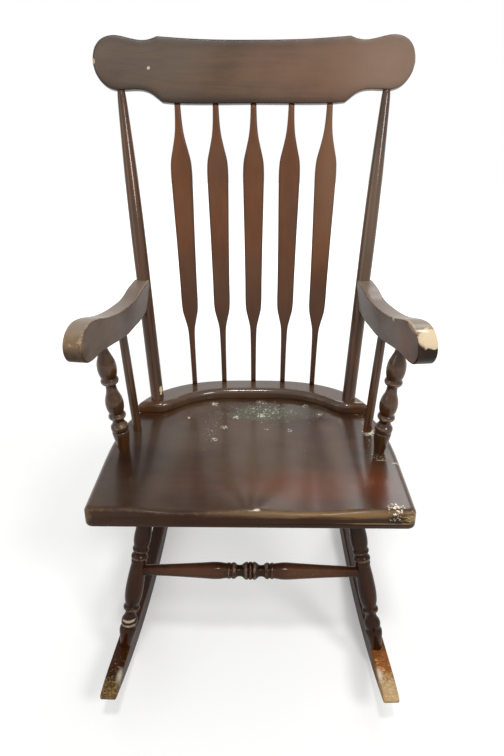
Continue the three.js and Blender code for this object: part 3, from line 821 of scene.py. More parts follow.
@dataclass(frozen=True)
class Crest:
    """The bowed crest rail with its two round ears."""

    bottom_front: tuple[float, float] = (256.987, 994.5)
    lean: float = math.radians(16.4)
    half_width: float = 316.5
    height: float = 123.5
    thickness: float = 21.0
    bow: float = 29.0
    edge_radius: float = 3.0
    lower_shares: tuple[tuple[float, float], ...] = (
        (0, 0), (0.5, -0.01), (0.582, 0.004), (0.612, 0.063), (0.655, 0.141), (0.7, 0.18), (0.75, 0.186),
        (0.81, 0.175), (0.868, 0.17), (0.914, 0.204), (0.953, 0.282), (0.985, 0.413), (1, 0.554),
    )
    upper_shares: tuple[tuple[float, float], ...] = (
        (1, 0.554), (0.999, 0.658), (0.985, 0.803), (0.953, 0.912), (0.912, 0.97), (0.868, 0.991),
        (0.825, 0.982), (0.778, 0.959), (0.735, 0.94), (0.7, 0.935), (0.668, 0.944), (0.637, 0.967),
        (0.607, 1), (0.488, 0.987), (0.344, 0.974), (0.17, 0.969), (0, 0.969),
    )
    lower_corners: tuple[int, ...] = (2,)
    upper_corners: tuple[int, ...] = (12,)
    per_span: int = 12
    columns: int = 120
    rows: int = 12
    edge_steps: int = 4
    # Rows next to the rim that share the edge mark, which the crest's finish darkens as painted shade.
    shaded_rim_rows: float = 1.5

    def chain(self, shares: Sequence[tuple[float, float]], corners: Sequence[int]) -> np.ndarray:
        """Draws half of the lower or upper edge, smooth between its corners.

        Args:
            shares: Points as shares of the half width and the height.
            corners: Numbers of the corner points.

        Returns:
            Points of the half, in even steps.
        """
        points = np.array(shares) * [self.half_width, self.height]
        breaks = [0, *corners, len(points) - 1]
        runs = [flowing(points[low : high + 1], self.per_span)[:-1] for low, high in zip(breaks, breaks[1:])]
        curve = np.vstack([*runs, points[-1:]])
        reach = np.concatenate([[0], np.cumsum(np.linalg.norm(np.diff(curve, axis=0), axis=1))])
        even = np.linspace(0, reach[-1], self.columns + 1)
        return np.stack([np.interp(even, reach, curve[:, axis]) for axis in (0, 1)], 1)

    def place(self, flat: np.ndarray, depth: float) -> np.ndarray:
        """Bends and leans points of the flat board.

        Args:
            flat: Points across and up, one a row.
            depth: How far they lie behind the front face.

        Returns:
            Their places on the chair, in metres.
        """
        across, up = flat[:, 0], flat[:, 1]
        back = depth - self.bow * (across / self.half_width) ** 2
        cosine, sine = math.cos(self.lean), math.sin(self.lean)
        level = self.bottom_front[0] + back * cosine + up * sine
        height = self.bottom_front[1] - back * sine + up * cosine
        return np.column_stack([across, level, height]) * MM

    def build(self) -> Object:
        """Makes the crest's fine mesh: round edges, and faces with enough columns for the bow.

        Returns:
            The new piece.
        """
        lower = self.chain(self.lower_shares, self.lower_corners)
        upper = self.chain(self.upper_shares, self.upper_corners)
        outline = mirrored(np.vstack([lower, upper[1:]]))
        rounded = rounding(self.edge_radius, self.edge_steps)
        rings = [Ring(self.place(inset(outline, inwards), deep), 1.0) for inwards, deep in rounded]
        rings.append(Ring(self.place(outline, self.thickness / 2), 0.3))
        for inwards, deep in reversed(rounded):
            rings.append(Ring(self.place(inset(outline, inwards), self.thickness - deep), 1.0))
        return self._with_faces(rings, outline)

    def _with_faces(self, rings: list[Ring], outline: np.ndarray) -> Object:
        """Closes the front and back with grids that run between the lower and the upper edge.

        Args:
            rings: Rings round the edge, from front to back.
            outline: The flat outline.

        Returns:
            The new piece.
        """
        count = len(outline)
        piece = skin("crest_rail_sawn", rings, fan=False, finished=False)
        edit = bmesh.new()
        edit.from_mesh(piece.data)
        flat_faces = [face for face in edit.faces if len(face.verts) > 4]
        bmesh.ops.delete(edit, geom=flat_faces, context="FACES_ONLY")
        edit.verts.ensure_lookup_table()
        edge_mark = edit.verts.layers.float.get(Mark.EDGE.value)
        tip = self.columns
        rim = inset(outline, self.edge_radius)
        for start, depth in ((0, 0.0), (len(edit.verts) - count, self.thickness)):
            columns = []
            for i in range(-tip + 1, tip):
                low = i % count
                high = (2 * tip - i) % count
                shares = np.linspace(0, 1, self.rows + 1)[1:-1, None]
                inner = self.place(rim[low] + (rim[high] - rim[low]) * shares, depth)
                column = [edit.verts[start + low]]
                for point, share in zip(inner, shares[:, 0]):
                    vertex = edit.verts.new(point)
                    # Rows near the rim carry part of the edge mark: on the crest a painted shade line.
                    rubbed = min(share, 1 - share) < self.shaded_rim_rows / self.rows
                    vertex[edge_mark] = 0.35 if rubbed else 0.0
                    column.append(vertex)
                edit.verts.ensure_lookup_table()
                column.append(edit.verts[start + high])
                columns.append(column)
            for one, other in zip(columns, columns[1:]):
                for row in range(self.rows):
                    edit.faces.new((one[row], one[row + 1], other[row + 1], other[row]))
            for column, corner in ((columns[0], (-tip) % count), (columns[-1], tip)):
                for row in range(self.rows):
                    edit.faces.new((column[row], column[row + 1], edit.verts[start + corner]))
        edit.to_mesh(piece.data)
        edit.free()
        turn_outwards(piece.data)
        piece.data.shade_smooth()
        return piece


def lay_grain(piece: Object, along: Sequence[float], up: Sequence[float], blank: int) -> None:
    """Stores each point's place in the wood that the piece was cut from, with Z along the grain.

    Args:
        piece: The piece, in its place on the chair.
        along: Direction of the grain.
        up: Another direction in the wood, which needn't be square to the first.
        blank: Number of the blank, so that no two pieces share their figure.
    """
    grain = Vector(along).normalized()
    right = grain.cross(Vector(up)).normalized()
    turn = np.array([right, grain.cross(right), grain])
    points = np.array([vertex.co for vertex in piece.data.vertices]) @ turn.T
    store(piece.data, Mark.WOOD.value, points + blank * np.array(BLANK_STEP))


def mark_upward(piece: Object) -> None:
    """Stores how far each point faces up."""
    store(piece.data, Mark.UPWARD.value, [max(0.0, normal.vector.z) for normal in piece.data.vertex_normals])


# Node trees


def arithmetic(operation: str, reflected: bool = False) -> Callable[[Signal, Signal | float], Signal]:
    """Makes a method that adds a Math node for a signal and another value.

    Args:
        operation: Operation of the node.
        reflected: Whether the other value comes first.

    Returns:
        The method.
    """

    def work(self: Signal, other: Signal | float) -> Signal:
        """Works on this signal and another value."""
        return self.math(operation, *((other, self) if reflected else (self, other)))

    return work


class Signal:
    """An output socket of a shader tree, whose arithmetic adds Math nodes."""

    def __init__(self, tree: ShaderTree, socket: NodeSocket) -> None:
        """Keeps the socket and its tree."""
        self.tree = tree
        self.socket = socket

    def math(self, operation: str, *values: Signal | float) -> Signal:
        """Adds a Math node that works on these values, in their order."""
        return self.tree.node("ShaderNodeMath", {"operation": operation}, dict(enumerate(values)))

    __add__ = __radd__ = arithmetic("ADD")
    __mul__ = __rmul__ = arithmetic("MULTIPLY")
    __sub__ = arithmetic("SUBTRACT")
    __rsub__ = arithmetic("SUBTRACT", reflected=True)
    __truediv__ = arithmetic("DIVIDE")
    largest = arithmetic("MAXIMUM")
    smallest = arithmetic("MINIMUM")

    def wave(self) -> Signal:
        """Gives the sine."""
        return self.math("SINE", self)

    def eased(self, low: float, high: float) -> Signal:
        """Eases from 0 to 1 between two values.

        Args:
            low: Value that gives 0.
            high: Value that gives 1. It may be the smaller one.

        Returns:
            The eased value.
        """
        sockets = {"Value": self, "From Min": min(low, high), "From Max": max(low, high)}
        if low > high:
            sockets.update({"To Min": 1.0, "To Max": 0.0})
        return self.tree.node("ShaderNodeMapRange", {"interpolation_type": "SMOOTHSTEP"}, sockets)


Value = Signal | NodeSocket | float | tuple


class NodeTree:
    """A node tree that is written one node at a time."""

    def __init__(self, tree: bpy.types.NodeTree) -> None:
        """Empties the tree."""
        self.tree = tree
        self.tree.nodes.clear()

    def raw(self, kind: str, settings: dict | None = None, sockets: dict | None = None) -> bpy.types.Node:
        """Adds a node.

        Args:
            kind: Type of the node.
            settings: Its settings, which are set first.
            sockets: Values or links of its inputs, by name, identifier or number.

        Returns:
            The node.
        """
        node = self.tree.nodes.new(kind)
        for name, value in (settings or {}).items():
            setattr(node, name, value)
        for key, value in (sockets or {}).items():
            if isinstance(key, int):
                target = node.inputs[key]
            else:
                target = next(one for one in node.inputs if key in (one.identifier, one.name))
            if isinstance(value, Signal):
                self.tree.links.new(value.socket, target)
            elif isinstance(value, NodeSocket):
                self.tree.links.new(value, target)
            else:
                target.default_value = value
        return node


class ShaderTree(NodeTree):
    """The shader tree of a material or of the world."""

    def node(
        self,
        kind: str,
        settings: dict | None = None,
        sockets: dict | None = None,
        out: int | str = 0,
    ) -> Signal:
        """Adds a node and gives one of its outputs, taking the same as raw."""
        return Signal(self, self.raw(kind, settings, sockets).outputs[out])

    def stored(self, mark: Mark, out: str = "Fac") -> Signal:
        """Gives what a mesh stores under a mark."""
        return self.node("ShaderNodeAttribute", {"attribute_name": mark.value}, out=out)

    def vector(self, operation: str, *values: Value, out: int | str = 0) -> Signal:
        """Adds a vector Math node that works on these values, in their order."""
        return self.node("ShaderNodeVectorMath", {"operation": operation}, dict(enumerate(values)), out)

    def mixed(self, share: Value, one: Value, other: Value) -> Signal:
        """Mixes two colours."""
        sockets = {"Factor_Float": share, "A_Color": one, "B_Color": other}
        return self.node("ShaderNodeMix", {"data_type": "RGBA"}, sockets, 2)

    def noise(self, place: Signal, stretch: Sequence[float], detail: float, rough: float) -> Signal:
        """Adds noise whose waves differ along X, Y and Z.

        Args:
            place: Place in the wood or on the chair.
            stretch: Waves per metre along X, Y and Z.
            detail: How many finer layers it has.
            rough: How much those layers count.

        Returns:
            The noise, near 0.5.
        """
        scaled = self.vector("MULTIPLY", place, tuple(stretch))
        sockets = {"Vector": scaled, "Scale": 1.0, "Detail": detail, "Roughness": rough}
        return self.node("ShaderNodeTexNoise", {}, sockets)


def new_finish(name: str) -> tuple[Material, ShaderTree]:
    """Makes a material.

    Args:
        name: Name of the material.

    Returns:
        The material and its shader tree, still empty.
    """
    made = bpy.data.materials.new(name)
    made.use_nodes = True
    return made, ShaderTree(made.node_tree)


def colour(code: str) -> tuple[float, float, float, float]:
    """Turns a written colour into linear light."""
    parts = [int(code[i : i + 2], 16) / 255 for i in (1, 3, 5)]
    return (*(part / 12.92 if part <= 0.04045 else ((part + 0.055) / 1.055) ** 2.4 for part in parts), 1.0)


# Finishes


def speckled(grains: Signal, distance: Signal, density: float) -> Signal:
    """Gives specks where the grains rise over a density, fewer towards a distance of 1."""
    grown = grains + distance.eased(0.1, 1.2) * -0.1
    return grown.eased(density, density + 0.045) * distance.eased(1.25, 0.95)


@dataclass(frozen=True)
class Spot:
    """A worn, chipped or stained place, a painted highlight or painted shade: its middle and its reach along
    X, Y and Z, in millimetres.
    """

    middle: tuple[float, float, float]
    reach: tuple[float, float, float]
    tint: str = "#d8c8a6"
    strength: float = 0.9
    ragged: float = 0.9
    fade: float = 0.12
    grains: float | tuple[float, float, float] = 200.0
    coated: bool = False

    def mask(self, tree: ShaderTree, place: Signal) -> Signal:
        """Gives how strongly the spot covers each place, from 0 to 1.

        Args:
            tree: The tree of the finish.
            place: Place on the chair, in metres.

        Returns:
            The spot's mask.
        """
        away = tree.vector("SUBTRACT", place, tuple(value * MM for value in self.middle))
        away = tree.vector("MULTIPLY", away, tuple(1 / (value * MM) for value in self.reach))
        distance = tree.vector("LENGTH", away, out="Value")
        grains = tree.noise(place, [float(one) for one in np.broadcast_to(self.grains, 3)], 3, 0.65)
        return self.cover(grains, distance) * self.strength

    def cover(self, grains: Signal, distance: Signal) -> Signal:
        """Gives where the spot lies, with a ragged edge at a distance of about 1.

        Args:
            grains: Noise that breaks up the spot.
            distance: Distance from the middle, as a share of the reach.

        Returns:
            The spot's form, from 0 to 1.
        """
        ragged = distance + (grains - 0.5) * 2 * self.ragged
        return ragged.eased(1 + self.fade, 1 - self.fade)


@dataclass(frozen=True)
class StainAndPaintedLight(Spot):
    """A spot under the lacquer: a real stain, a painted sheen or reflection, or painted shade."""

    coated: bool = True


@dataclass(frozen=True)
class Specks(StainAndPaintedLight):
    """Specks that thin out over a spot's reach."""

    grains: float | tuple[float, float, float] = 260.0
    density: float = 0.585

    def cover(self, grains: Signal, distance: Signal) -> Signal:
        """Gives where the specks lie, taking the same as a spot's cover."""
        return speckled(grains, distance, self.density)


@dataclass(frozen=True)
class BareSpecks(Specks):
    """Specks where the lacquer is gone too."""

    coated: bool = False


@dataclass(frozen=True)
class Flecks:
    """Small chipped places that share one tint, each given by its X, Y, Z and reach, in millimetres."""

    places: tuple[tuple[float, float, float, float], ...]
    tint: str
    strength: float = 0.9
    grains: float = 300.0
    density: float = 0.47
    coated: bool = True

    def mask(self, tree: ShaderTree, place: Signal) -> Signal:
        """Gives how strongly the flecks cover each place, from 0 to 1.

        Args:
            tree: The tree of the finish.
            place: Place on the chair, in metres.

        Returns:
            The mask of all the flecks.
        """
        nearest = None
        for *middle, reach in self.places:
            spot = tuple(value * MM for value in middle)
            away = tree.vector("DISTANCE", place, spot, out="Value") / (reach * MM)
            nearest = away if nearest is None else nearest.smallest(away)
        grains = tree.noise(place, (self.grains,) * 3, 3, 0.65)
        return speckled(grains, nearest, self.density) * self.strength


@dataclass(frozen=True)
class StainedWood:
    """Dark stained wood under an old satin lacquer, with its worn edges and its spots, a painted sheen, and
    painted shade in its grooves.
    """

    name: str
    dark: str = "#2a180c"
    light: str = "#56351c"
    # Grey of a painted sheen that clouds the wood.
    painted_sheen: str = "#5b4a38"
    rubbed: str = "#8c6f55"
    painted_sheen_share: float = 0.35
    fibre_share: float = 0.4
    figure: float = 0.12
    # Tint of upward faces: dust and a painted sheen.
    dust_and_sheen: str = "#8f8070"
    # Darkens grooves and edges: grime and painted shade.
    grime_and_shade: str = "#130b06"
    fibre_waves: tuple[float, float, float] = (1500, 1500, 40)
    pore_waves: tuple[float, float, float] = (2600, 2600, 190)
    ring_waves: tuple[float, float, float] = (60, 60, 3.2)
    cast_waves: tuple[float, float, float] = (14, 14, 6)
    sheen_cloud_waves: tuple[float, float, float] = (8, 8, 8)
    scuff_waves: tuple[float, float, float] = (120, 120, 120)
    shine_waves: tuple[float, float, float] = (38, 38, 38)
    rings: float = 24.0
    pore_run: tuple[float, float] = (0.64, 0.76)
    pore_share: float = 0.3
    tone_run: tuple[float, float] = (0.15, 0.85)
    cast_share: float = 0.8
    painted_sheen_run: tuple[float, float] = (0.4, 0.66)
    groove_shade: float = 0.6
    edge_shade: float = 0.0
    edge_wear: float = 0.0
    edge_run: tuple[float, float] = (0.75, 1.0)
    top_dust_and_sheen: float = 0.0
    top_sheen_run: tuple[float, float] = (0.6, 0.95)
    side_run: tuple[float, float] = (0.05, 0.4)
    lift: float = 0.3
    lift_height: float = 0.5
    roughness: float = 0.38
    worn_roughness: float = 0.35
    shine_spread: float = 0.16
    gloss: float = 0.24
    coat: float = 0.1
    coat_roughness: float = 0.14
    spots: tuple[Spot | Flecks, ...] = ()

    def material(self) -> Material:
        """Builds the finish.

        Returns:
            The material.
        """
        made, tree = new_finish(self.name)
        place = tree.stored(Mark.WOOD, "Vector")
        on_chair = tree.node("ShaderNodeTexCoord", out="Object")
        edge = tree.stored(Mark.EDGE)
        groove = tree.stored(Mark.GROOVE)

        fibres = tree.noise(place, self.fibre_waves, 3, 0.6)
        pores = tree.noise(place, self.pore_waves, 1, 0.5).eased(*self.pore_run)
        figure = (tree.noise(place, self.ring_waves, 2, 0.5) * self.rings).wave() * 0.5 + 0.5
        cast = tree.noise(place, self.cast_waves, 3, 0.6)
        sheen_clouds = tree.noise(on_chair, self.sheen_cloud_waves, 2, 0.5)

        tone = (fibres - 0.5) * self.fibre_share + (figure - 0.5) * self.figure
        tone = tone + cast * self.cast_share + (1 - self.cast_share) / 2
        wood = tree.mixed(tone.eased(*self.tone_run), colour(self.dark), colour(self.light))
        # Painted sheen: grey clouds that stand in for the lacquer's reflections.
        wood = tree.mixed(sheen_clouds.eased(*self.painted_sheen_run) * self.painted_sheen_share, wood, colour(self.painted_sheen))
        wood = tree.mixed(pores * self.pore_share, wood, colour(self.dark))
        # Grooves darken with grime and painted shade; where edge_shade is set, edges darken too, as a
        # painted shade line.
        shade = groove * self.groove_shade
        if self.edge_shade:
            shade = shade.largest(edge * self.edge_shade)
        wood = tree.mixed(shade, wood, colour(self.grime_and_shade))

        # Upward faces turn paler: dust, and a painted sheen where they face the light above.
        if self.top_dust_and_sheen:
            upward = tree.stored(Mark.UPWARD)
            dust_and_sheen = (upward + (cast - 0.5) * 0.3).eased(*self.top_sheen_run) * self.top_dust_and_sheen
            wood = tree.mixed(dust_and_sheen, wood, colour(self.dust_and_sheen))
        if self.edge_wear:
            scuffs = tree.noise(on_chair, self.scuff_waves, 3, 0.6)
            reach = edge * (scuffs + 0.4)
            if self.top_dust_and_sheen:
                reach = reach * upward.eased(*self.side_run)
            wood = tree.mixed(reach.eased(*self.edge_run) * self.edge_wear, wood, colour(self.rubbed))
        worn: Signal | float = 0.0
        for spot in self.spots:
            mask = spot.mask(tree, on_chair)
            wood = tree.mixed(mask, wood, colour(spot.tint))
            if not spot.coated:
                worn = worn.largest(mask) if isinstance(worn, Signal) else mask

        height = fibres * 0.3 - pores * 0.3 - worn * 0.6 + cast * 0.8
        sockets = {"Strength": self.lift, "Distance": self.lift_height * MM, "Height": height}
        lift = tree.node("ShaderNodeBump", {}, sockets)
        shine = tree.noise(on_chair, self.shine_waves, 3, 0.6)
        base = self.roughness - self.shine_spread / 2
        shader = tree.node("ShaderNodeBsdfPrincipled", {}, {
            "Base Color": wood,
            "Roughness": shine * self.shine_spread + worn * self.worn_roughness + base,
            "Normal": lift,
            "Specular IOR Level": self.gloss,
            "Coat Weight": (1.0 - worn) * self.coat,
            "Coat Roughness": self.coat_roughness,
        })
        tree.raw("ShaderNodeOutputMaterial", {}, {"Surface": shader})
        return made


SEAT_SPOTS = (
    StainAndPaintedLight((95, -225, 404), (100, 46, 14), "#7a4125", 0.5, 0.5, 0.9, 26),
    StainAndPaintedLight((224, -225, 405), (26, 50, 14), "#6e3216", 0.6, 0.5, 0.9, 30),
    # Painted reflections: the grey streaks running front to back, and the dark streak between them.
    StainAndPaintedLight((0, -80, 398), (60, 130, 20), "#6d5c49", 0.35, 0.8, 0.9, 18),
    StainAndPaintedLight((165, -110, 398), (16, 130, 20), "#6f5644", 0.4, 0.6, 0.9, 22),
    StainAndPaintedLight((131, -60, 396), (9, 120, 20), "#3a2013", 0.5, 0.6, 0.8, 22),
    # Painted shade: the left side of the top darker.
    StainAndPaintedLight((-212, -170, 402), (48, 160, 20), "#150b05", 0.6, 0.6, 0.9, 20),
    StainAndPaintedLight((-150, -60, 397), (22, 150, 20), "#4d4133", 0.4, 0.6, 0.9, 20),
    Spot((40, 55, 390), (92, 30, 14), "#6a7161", 0.4, 1.4, 0.6, 45),
    Specks((40, 58, 390), (125, 52, 16), "#d5d5c3", 0.9, grains=150, density=0.6),
    Specks((20, 66, 390), (80, 34, 16), "#a5ad97", 0.85, density=0.565),
    Specks((-85, 0, 390), (22, 110, 16), "#b9b8a8", 0.8, density=0.6),
    Specks((90, -110, 396), (60, 90, 16), "#b3a894", 0.6, density=0.655),
    Flecks((
        (-35, 39, 391, 9), (14, 103, 388, 7), (24, 100, 388, 6), (19, 46, 390, 10), (115, 84, 389, 6.5),
        (78, -18, 394, 6.5), (29, -14, 394, 5), (-58, -6, 393, 9), (-85, 92, 388, 8.5), (-75, -58, 396, 9),
        (143, 46, 391, 6.5), (-71, -178, 402, 3.5), (-136, 33, 391, 5), (-247, 65, 390, 6),
    ), "#dedccb"),
    Specks((223, 44, 391), (22, 9, 6), "#b3a48c", 0.75, density=0.52),
    Specks((230, -45, 394), (7, 100, 10), "#b3a692", 0.8, grains=300, density=0.5),
    Spot((236, -42, 394), (16, 14, 6), "#e3dac4", 0.95, 1.3, 0.12, 260),
    Specks((240, -134, 399), (24, 19, 6), "#bba98d", 0.85, density=0.5),
    Spot((243, -146, 400), (14, 3, 5), "#a3917a", ragged=0.8),
    Spot((266, -156, 401), (8, 3, 5), "#cdbb9c", ragged=0.6),
    # Painted shade on the front face, which also dulls the lacquer there.
    Spot((0, -309, 392), (330, 8, 19), "#2b1609", 0.72, 0.4, 0.6, (10, 150, 150)),
    # Worn bands along the front roll, partly painted highlight.
    Spot((20, -308, 405), (85, 7, 5.5), "#7d6749", 0.6, 0.8, 0.8, (18, 150, 150)),
    Spot((160, -308, 405), (110, 7, 6), "#94744c", 0.65, 0.8, 0.8, (18, 150, 150)),
    Specks((60, -309, 395), (250, 4, 9), "#120a05", 0.5, grains=(12, 300, 480), density=0.55),
    Spot((110, -309, 385), (170, 4, 1.1), "#0d0703", 0.85, 0.5, 0.5, (12, 200, 300)),
    Spot((225, -309, 387.5), (60, 4, 1.1), "#9a8058", 0.7, 0.8, 0.5, (30, 200, 300)),
    # Painted highlight: a small glint on the front roll.
    Spot((12, -304, 409.5), (5, 4, 1.2), "#e9d3bd", 0.8, 0.6, 0.5, (60, 200, 300)),
    Spot((-273, -305, 398), (9, 16, 9), "#6d5c37", 0.7, 1.0, 0.4, 120),
    BareSpecks((266, -306, 397), (20, 14, 10), "#a58354", 0.8, grains=(50, 220, 380), density=0.44),
    BareSpecks((266, -306, 400), (20, 14, 12), "#e2cca2", 0.85, grains=(60, 240, 420), density=0.54),
    StainAndPaintedLight((243, -309, 396), (14, 6, 9), "#150c06", 0.85, 0.6, 0.4, 120),
    Specks((244, -299, 409), (15, 14, 9), "#f3e2c4", 0.95, grains=(210, 260, 260), density=0.475),
    Specks((243, -309, 397), (14, 6, 12), "#e8d5b2", 0.85, grains=(260, 300, 300), density=0.58),
)
ARM_SPOTS = (
    StainAndPaintedLight((279, -240, 661), (26, 30, 24), "#140d08", 0.9, 0.4, 0.4, 60),
    Spot((284, -247, 692), (27, 32, 17), "#d8c3a2", 0.95, 0.4, 0.08, 110),
    Specks((264, -246, 696), (14, 14, 12), "#a98f74", 0.5, density=0.54),
    Spot((268, -224, 700), (14, 4, 5), "#f6e9d2", 0.9, 0.4, 0.3, 120),
    Spot((269, -237, 700), (7, 3.5, 5), "#58422f", 0.9, 0.4, 0.3, 150),
    Spot((262, -248, 690), (6, 5, 5), "#6b5846", 0.8, 0.9, 0.3, 200),
    Spot((269, -249, 685), (4, 5, 4), "#5a4737", 0.8, 0.9, 0.3, 200),
    StainAndPaintedLight((257, -248, 675), (15, 10, 10), "#1a110b", 0.9, 0.5, 0.3, 150),
    Spot((257, -208, 698), (3, 34, 6), "#d3bda6", 0.75, 0.6, 0.3, 150),
    Spot((243, -19, 669), (7, 7, 5), "#f0e0c8", 0.9, 0.9, 0.2, 170),
    Spot((247, -114, 674), (3, 7, 4), "#d3bfa6", 0.9, 0.9, 0.2, 200),
    StainAndPaintedLight((252, -190, 662), (16, 50, 34), "#70412c", 0.6, 0.4, 0.9, 18),
    # Painted sheen on the rear of both arms' inner faces.
    StainAndPaintedLight((236, 40, 650), (30, 90, 40), "#544340", 0.45, 0.4, 0.9, 12),
    StainAndPaintedLight((-236, 40, 650), (30, 90, 40), "#544340", 0.45, 0.4, 0.9, 12),
    Spot((-279, -246, 686), (24, 16, 26), "#8c745b", 0.6, 1.4, 0.5, 70),
    Specks((-262, -244, 694), (9, 16, 20), "#b5a48b", 0.5, grains=(240, 240, 90), density=0.49),
    Specks((-269, -246, 680), (15, 10, 6), "#ab9a81", 0.45, grains=(120, 200, 260), density=0.5),
    Spot((-279, -240, 660), (26, 22, 12), "#4c4233", 0.6, 0.7, 0.5, 60),
)
ROCKER_SPOTS = (
    Spot((235, -335, 78), (40, 56, 26), "#965a2c", 0.85, 0.9, 0.6, 60),
    Specks((235, -340, 78), (24, 38, 20), "#dda45c", 0.8, grains=150, density=0.5),
    Spot((242, -404, 74), (40, 44, 30), "#b99c70", 0.95, 0.8, 0.4, 70),
    Specks((242, -390, 74), (30, 46, 30), "#d8c7a2", 0.45, grains=200, density=0.52),
    Specks((242, -392, 74), (30, 46, 30), "#8a5f38", 0.4, density=0.57),
    # Painted highlight on the right rocker's top.
    Spot((233, -353, 79), (5, 14, 6), "#efe7d6", 0.75, 0.4, 0.9, 150),
    Specks((-240, -372, 78), (34, 62, 26), "#98794c", 0.65, grains=200, density=0.55),
    Specks((-243, -398, 74), (34, 30, 26), "#a8905f", 0.65, density=0.49),
    Spot((-243, -404, 70), (40, 30, 30), "#77603c", 0.5, 1.2, 0.6, 90),
    # Painted highlight on the left rocker's top.
    Spot((-234, -362, 79), (5, 14, 6), "#d9cdb8", 0.7, 0.4, 0.9, 150),
)
TURNED_SPOTS = (
    Spot((-198, 73, 435), (3, 6, 10), "#dccaa5", 0.95, 1.3, 0.15, 300),
    # Painted sheen on the right back post.
    StainAndPaintedLight((246, 185, 790), (34, 90, 200), "#84705f", 0.3, 0.3, 0.9, 12),
    Spot((-240, -131, 466), (7, 10, 6), "#8b7650", 0.45, 0.9, 0.5, 200),
)
ARROW_SPOTS = (
    StainAndPaintedLight((0, 165, 440), (230, 80, 200), "#22100a", 0.6, 0.2, 0.9, 10),
    # Painted sheen on the upper part of the right spindle.
    StainAndPaintedLight((162, 240, 870), (36, 70, 150), "#8d6549", 0.4, 0.3, 0.9, 12),
)
UNDER_SPOTS = (
    # Pale crescents on the left front leg's ball and ring: wear and painted highlight.
    Spot((-228, -284, 131.4), (18, 9, 2), "#c4b49d", 0.75, 0.7, 0.3, 200),
    Spot((-229, -286, 122), (18, 9, 2.6), "#bfae96", 0.75, 0.7, 0.3, 200),
    Specks((95, -262, 234), (50, 16, 9), "#a88a60", 0.6, grains=330),
    StainAndPaintedLight((-105, -262, 234), (60, 20, 14), "#5b3c28", 0.65, 0.5, 0.7, 50),
    StainAndPaintedLight((105, -262, 234), (60, 20, 14), "#603e29", 0.65, 0.5, 0.7, 50),
)
CREST_SPOTS = (
    # Painted sheen: lighter on the right part and the right ear, greyer on the left.
    StainAndPaintedLight((170, 262, 1060), (140, 60, 60), "#7a5742", 0.55, 0.5, 0.8, 10),
    StainAndPaintedLight((285, 250, 1065), (90, 60, 70), "#8b7260", 0.6, 0.3, 0.9, 10),
    StainAndPaintedLight((-230, 262, 1075), (120, 60, 50), "#574d42", 0.45, 0.5, 0.8, 10),
    Spot((-209, 262, 1059), (3, 9, 3), "#cbb99c", ragged=0.4),
    Spot((-315, 250, 1072), (3, 12, 5), "#bba98e", ragged=0.8),
)


@dataclass(frozen=True)
class ScrewSteel:
    """Zinc-plated steel, dulled with age."""

    name: str = "dull_zinc"
    bright: str = "#a8a69c"
    dull: str = "#6d6a60"

    def material(self) -> Material:
        """Builds the finish.

        Returns:
            The material.
        """
        made, tree = new_finish(self.name)
        place = tree.node("ShaderNodeTexCoord", out="Object")
        stain = tree.noise(place, (700, 700, 700), 3, 0.6)
        brushed = tree.noise(place, (2400, 2400, 2400), 2, 0.5)
        lift = tree.node("ShaderNodeBump", {}, {"Strength": 0.2, "Distance": 0.2 * MM, "Height": brushed})
        shader = tree.node("ShaderNodeBsdfPrincipled", {}, {
            "Base Color": tree.mixed(stain.eased(0.35, 0.65), colour(self.bright), colour(self.dull)),
            "Metallic": 0.9,
            "Roughness": stain * 0.3 + 0.25,
            "Normal": lift,
        })
        tree.raw("ShaderNodeOutputMaterial", {}, {"Surface": shader})
        return made


# Repeated pieces


@dataclass(frozen=True)
class Stand:
    """Where one copy of a repeated piece stands: its first end, its direction and how much longer it is."""

    start: np.ndarray
    along: np.ndarray
    longer: float


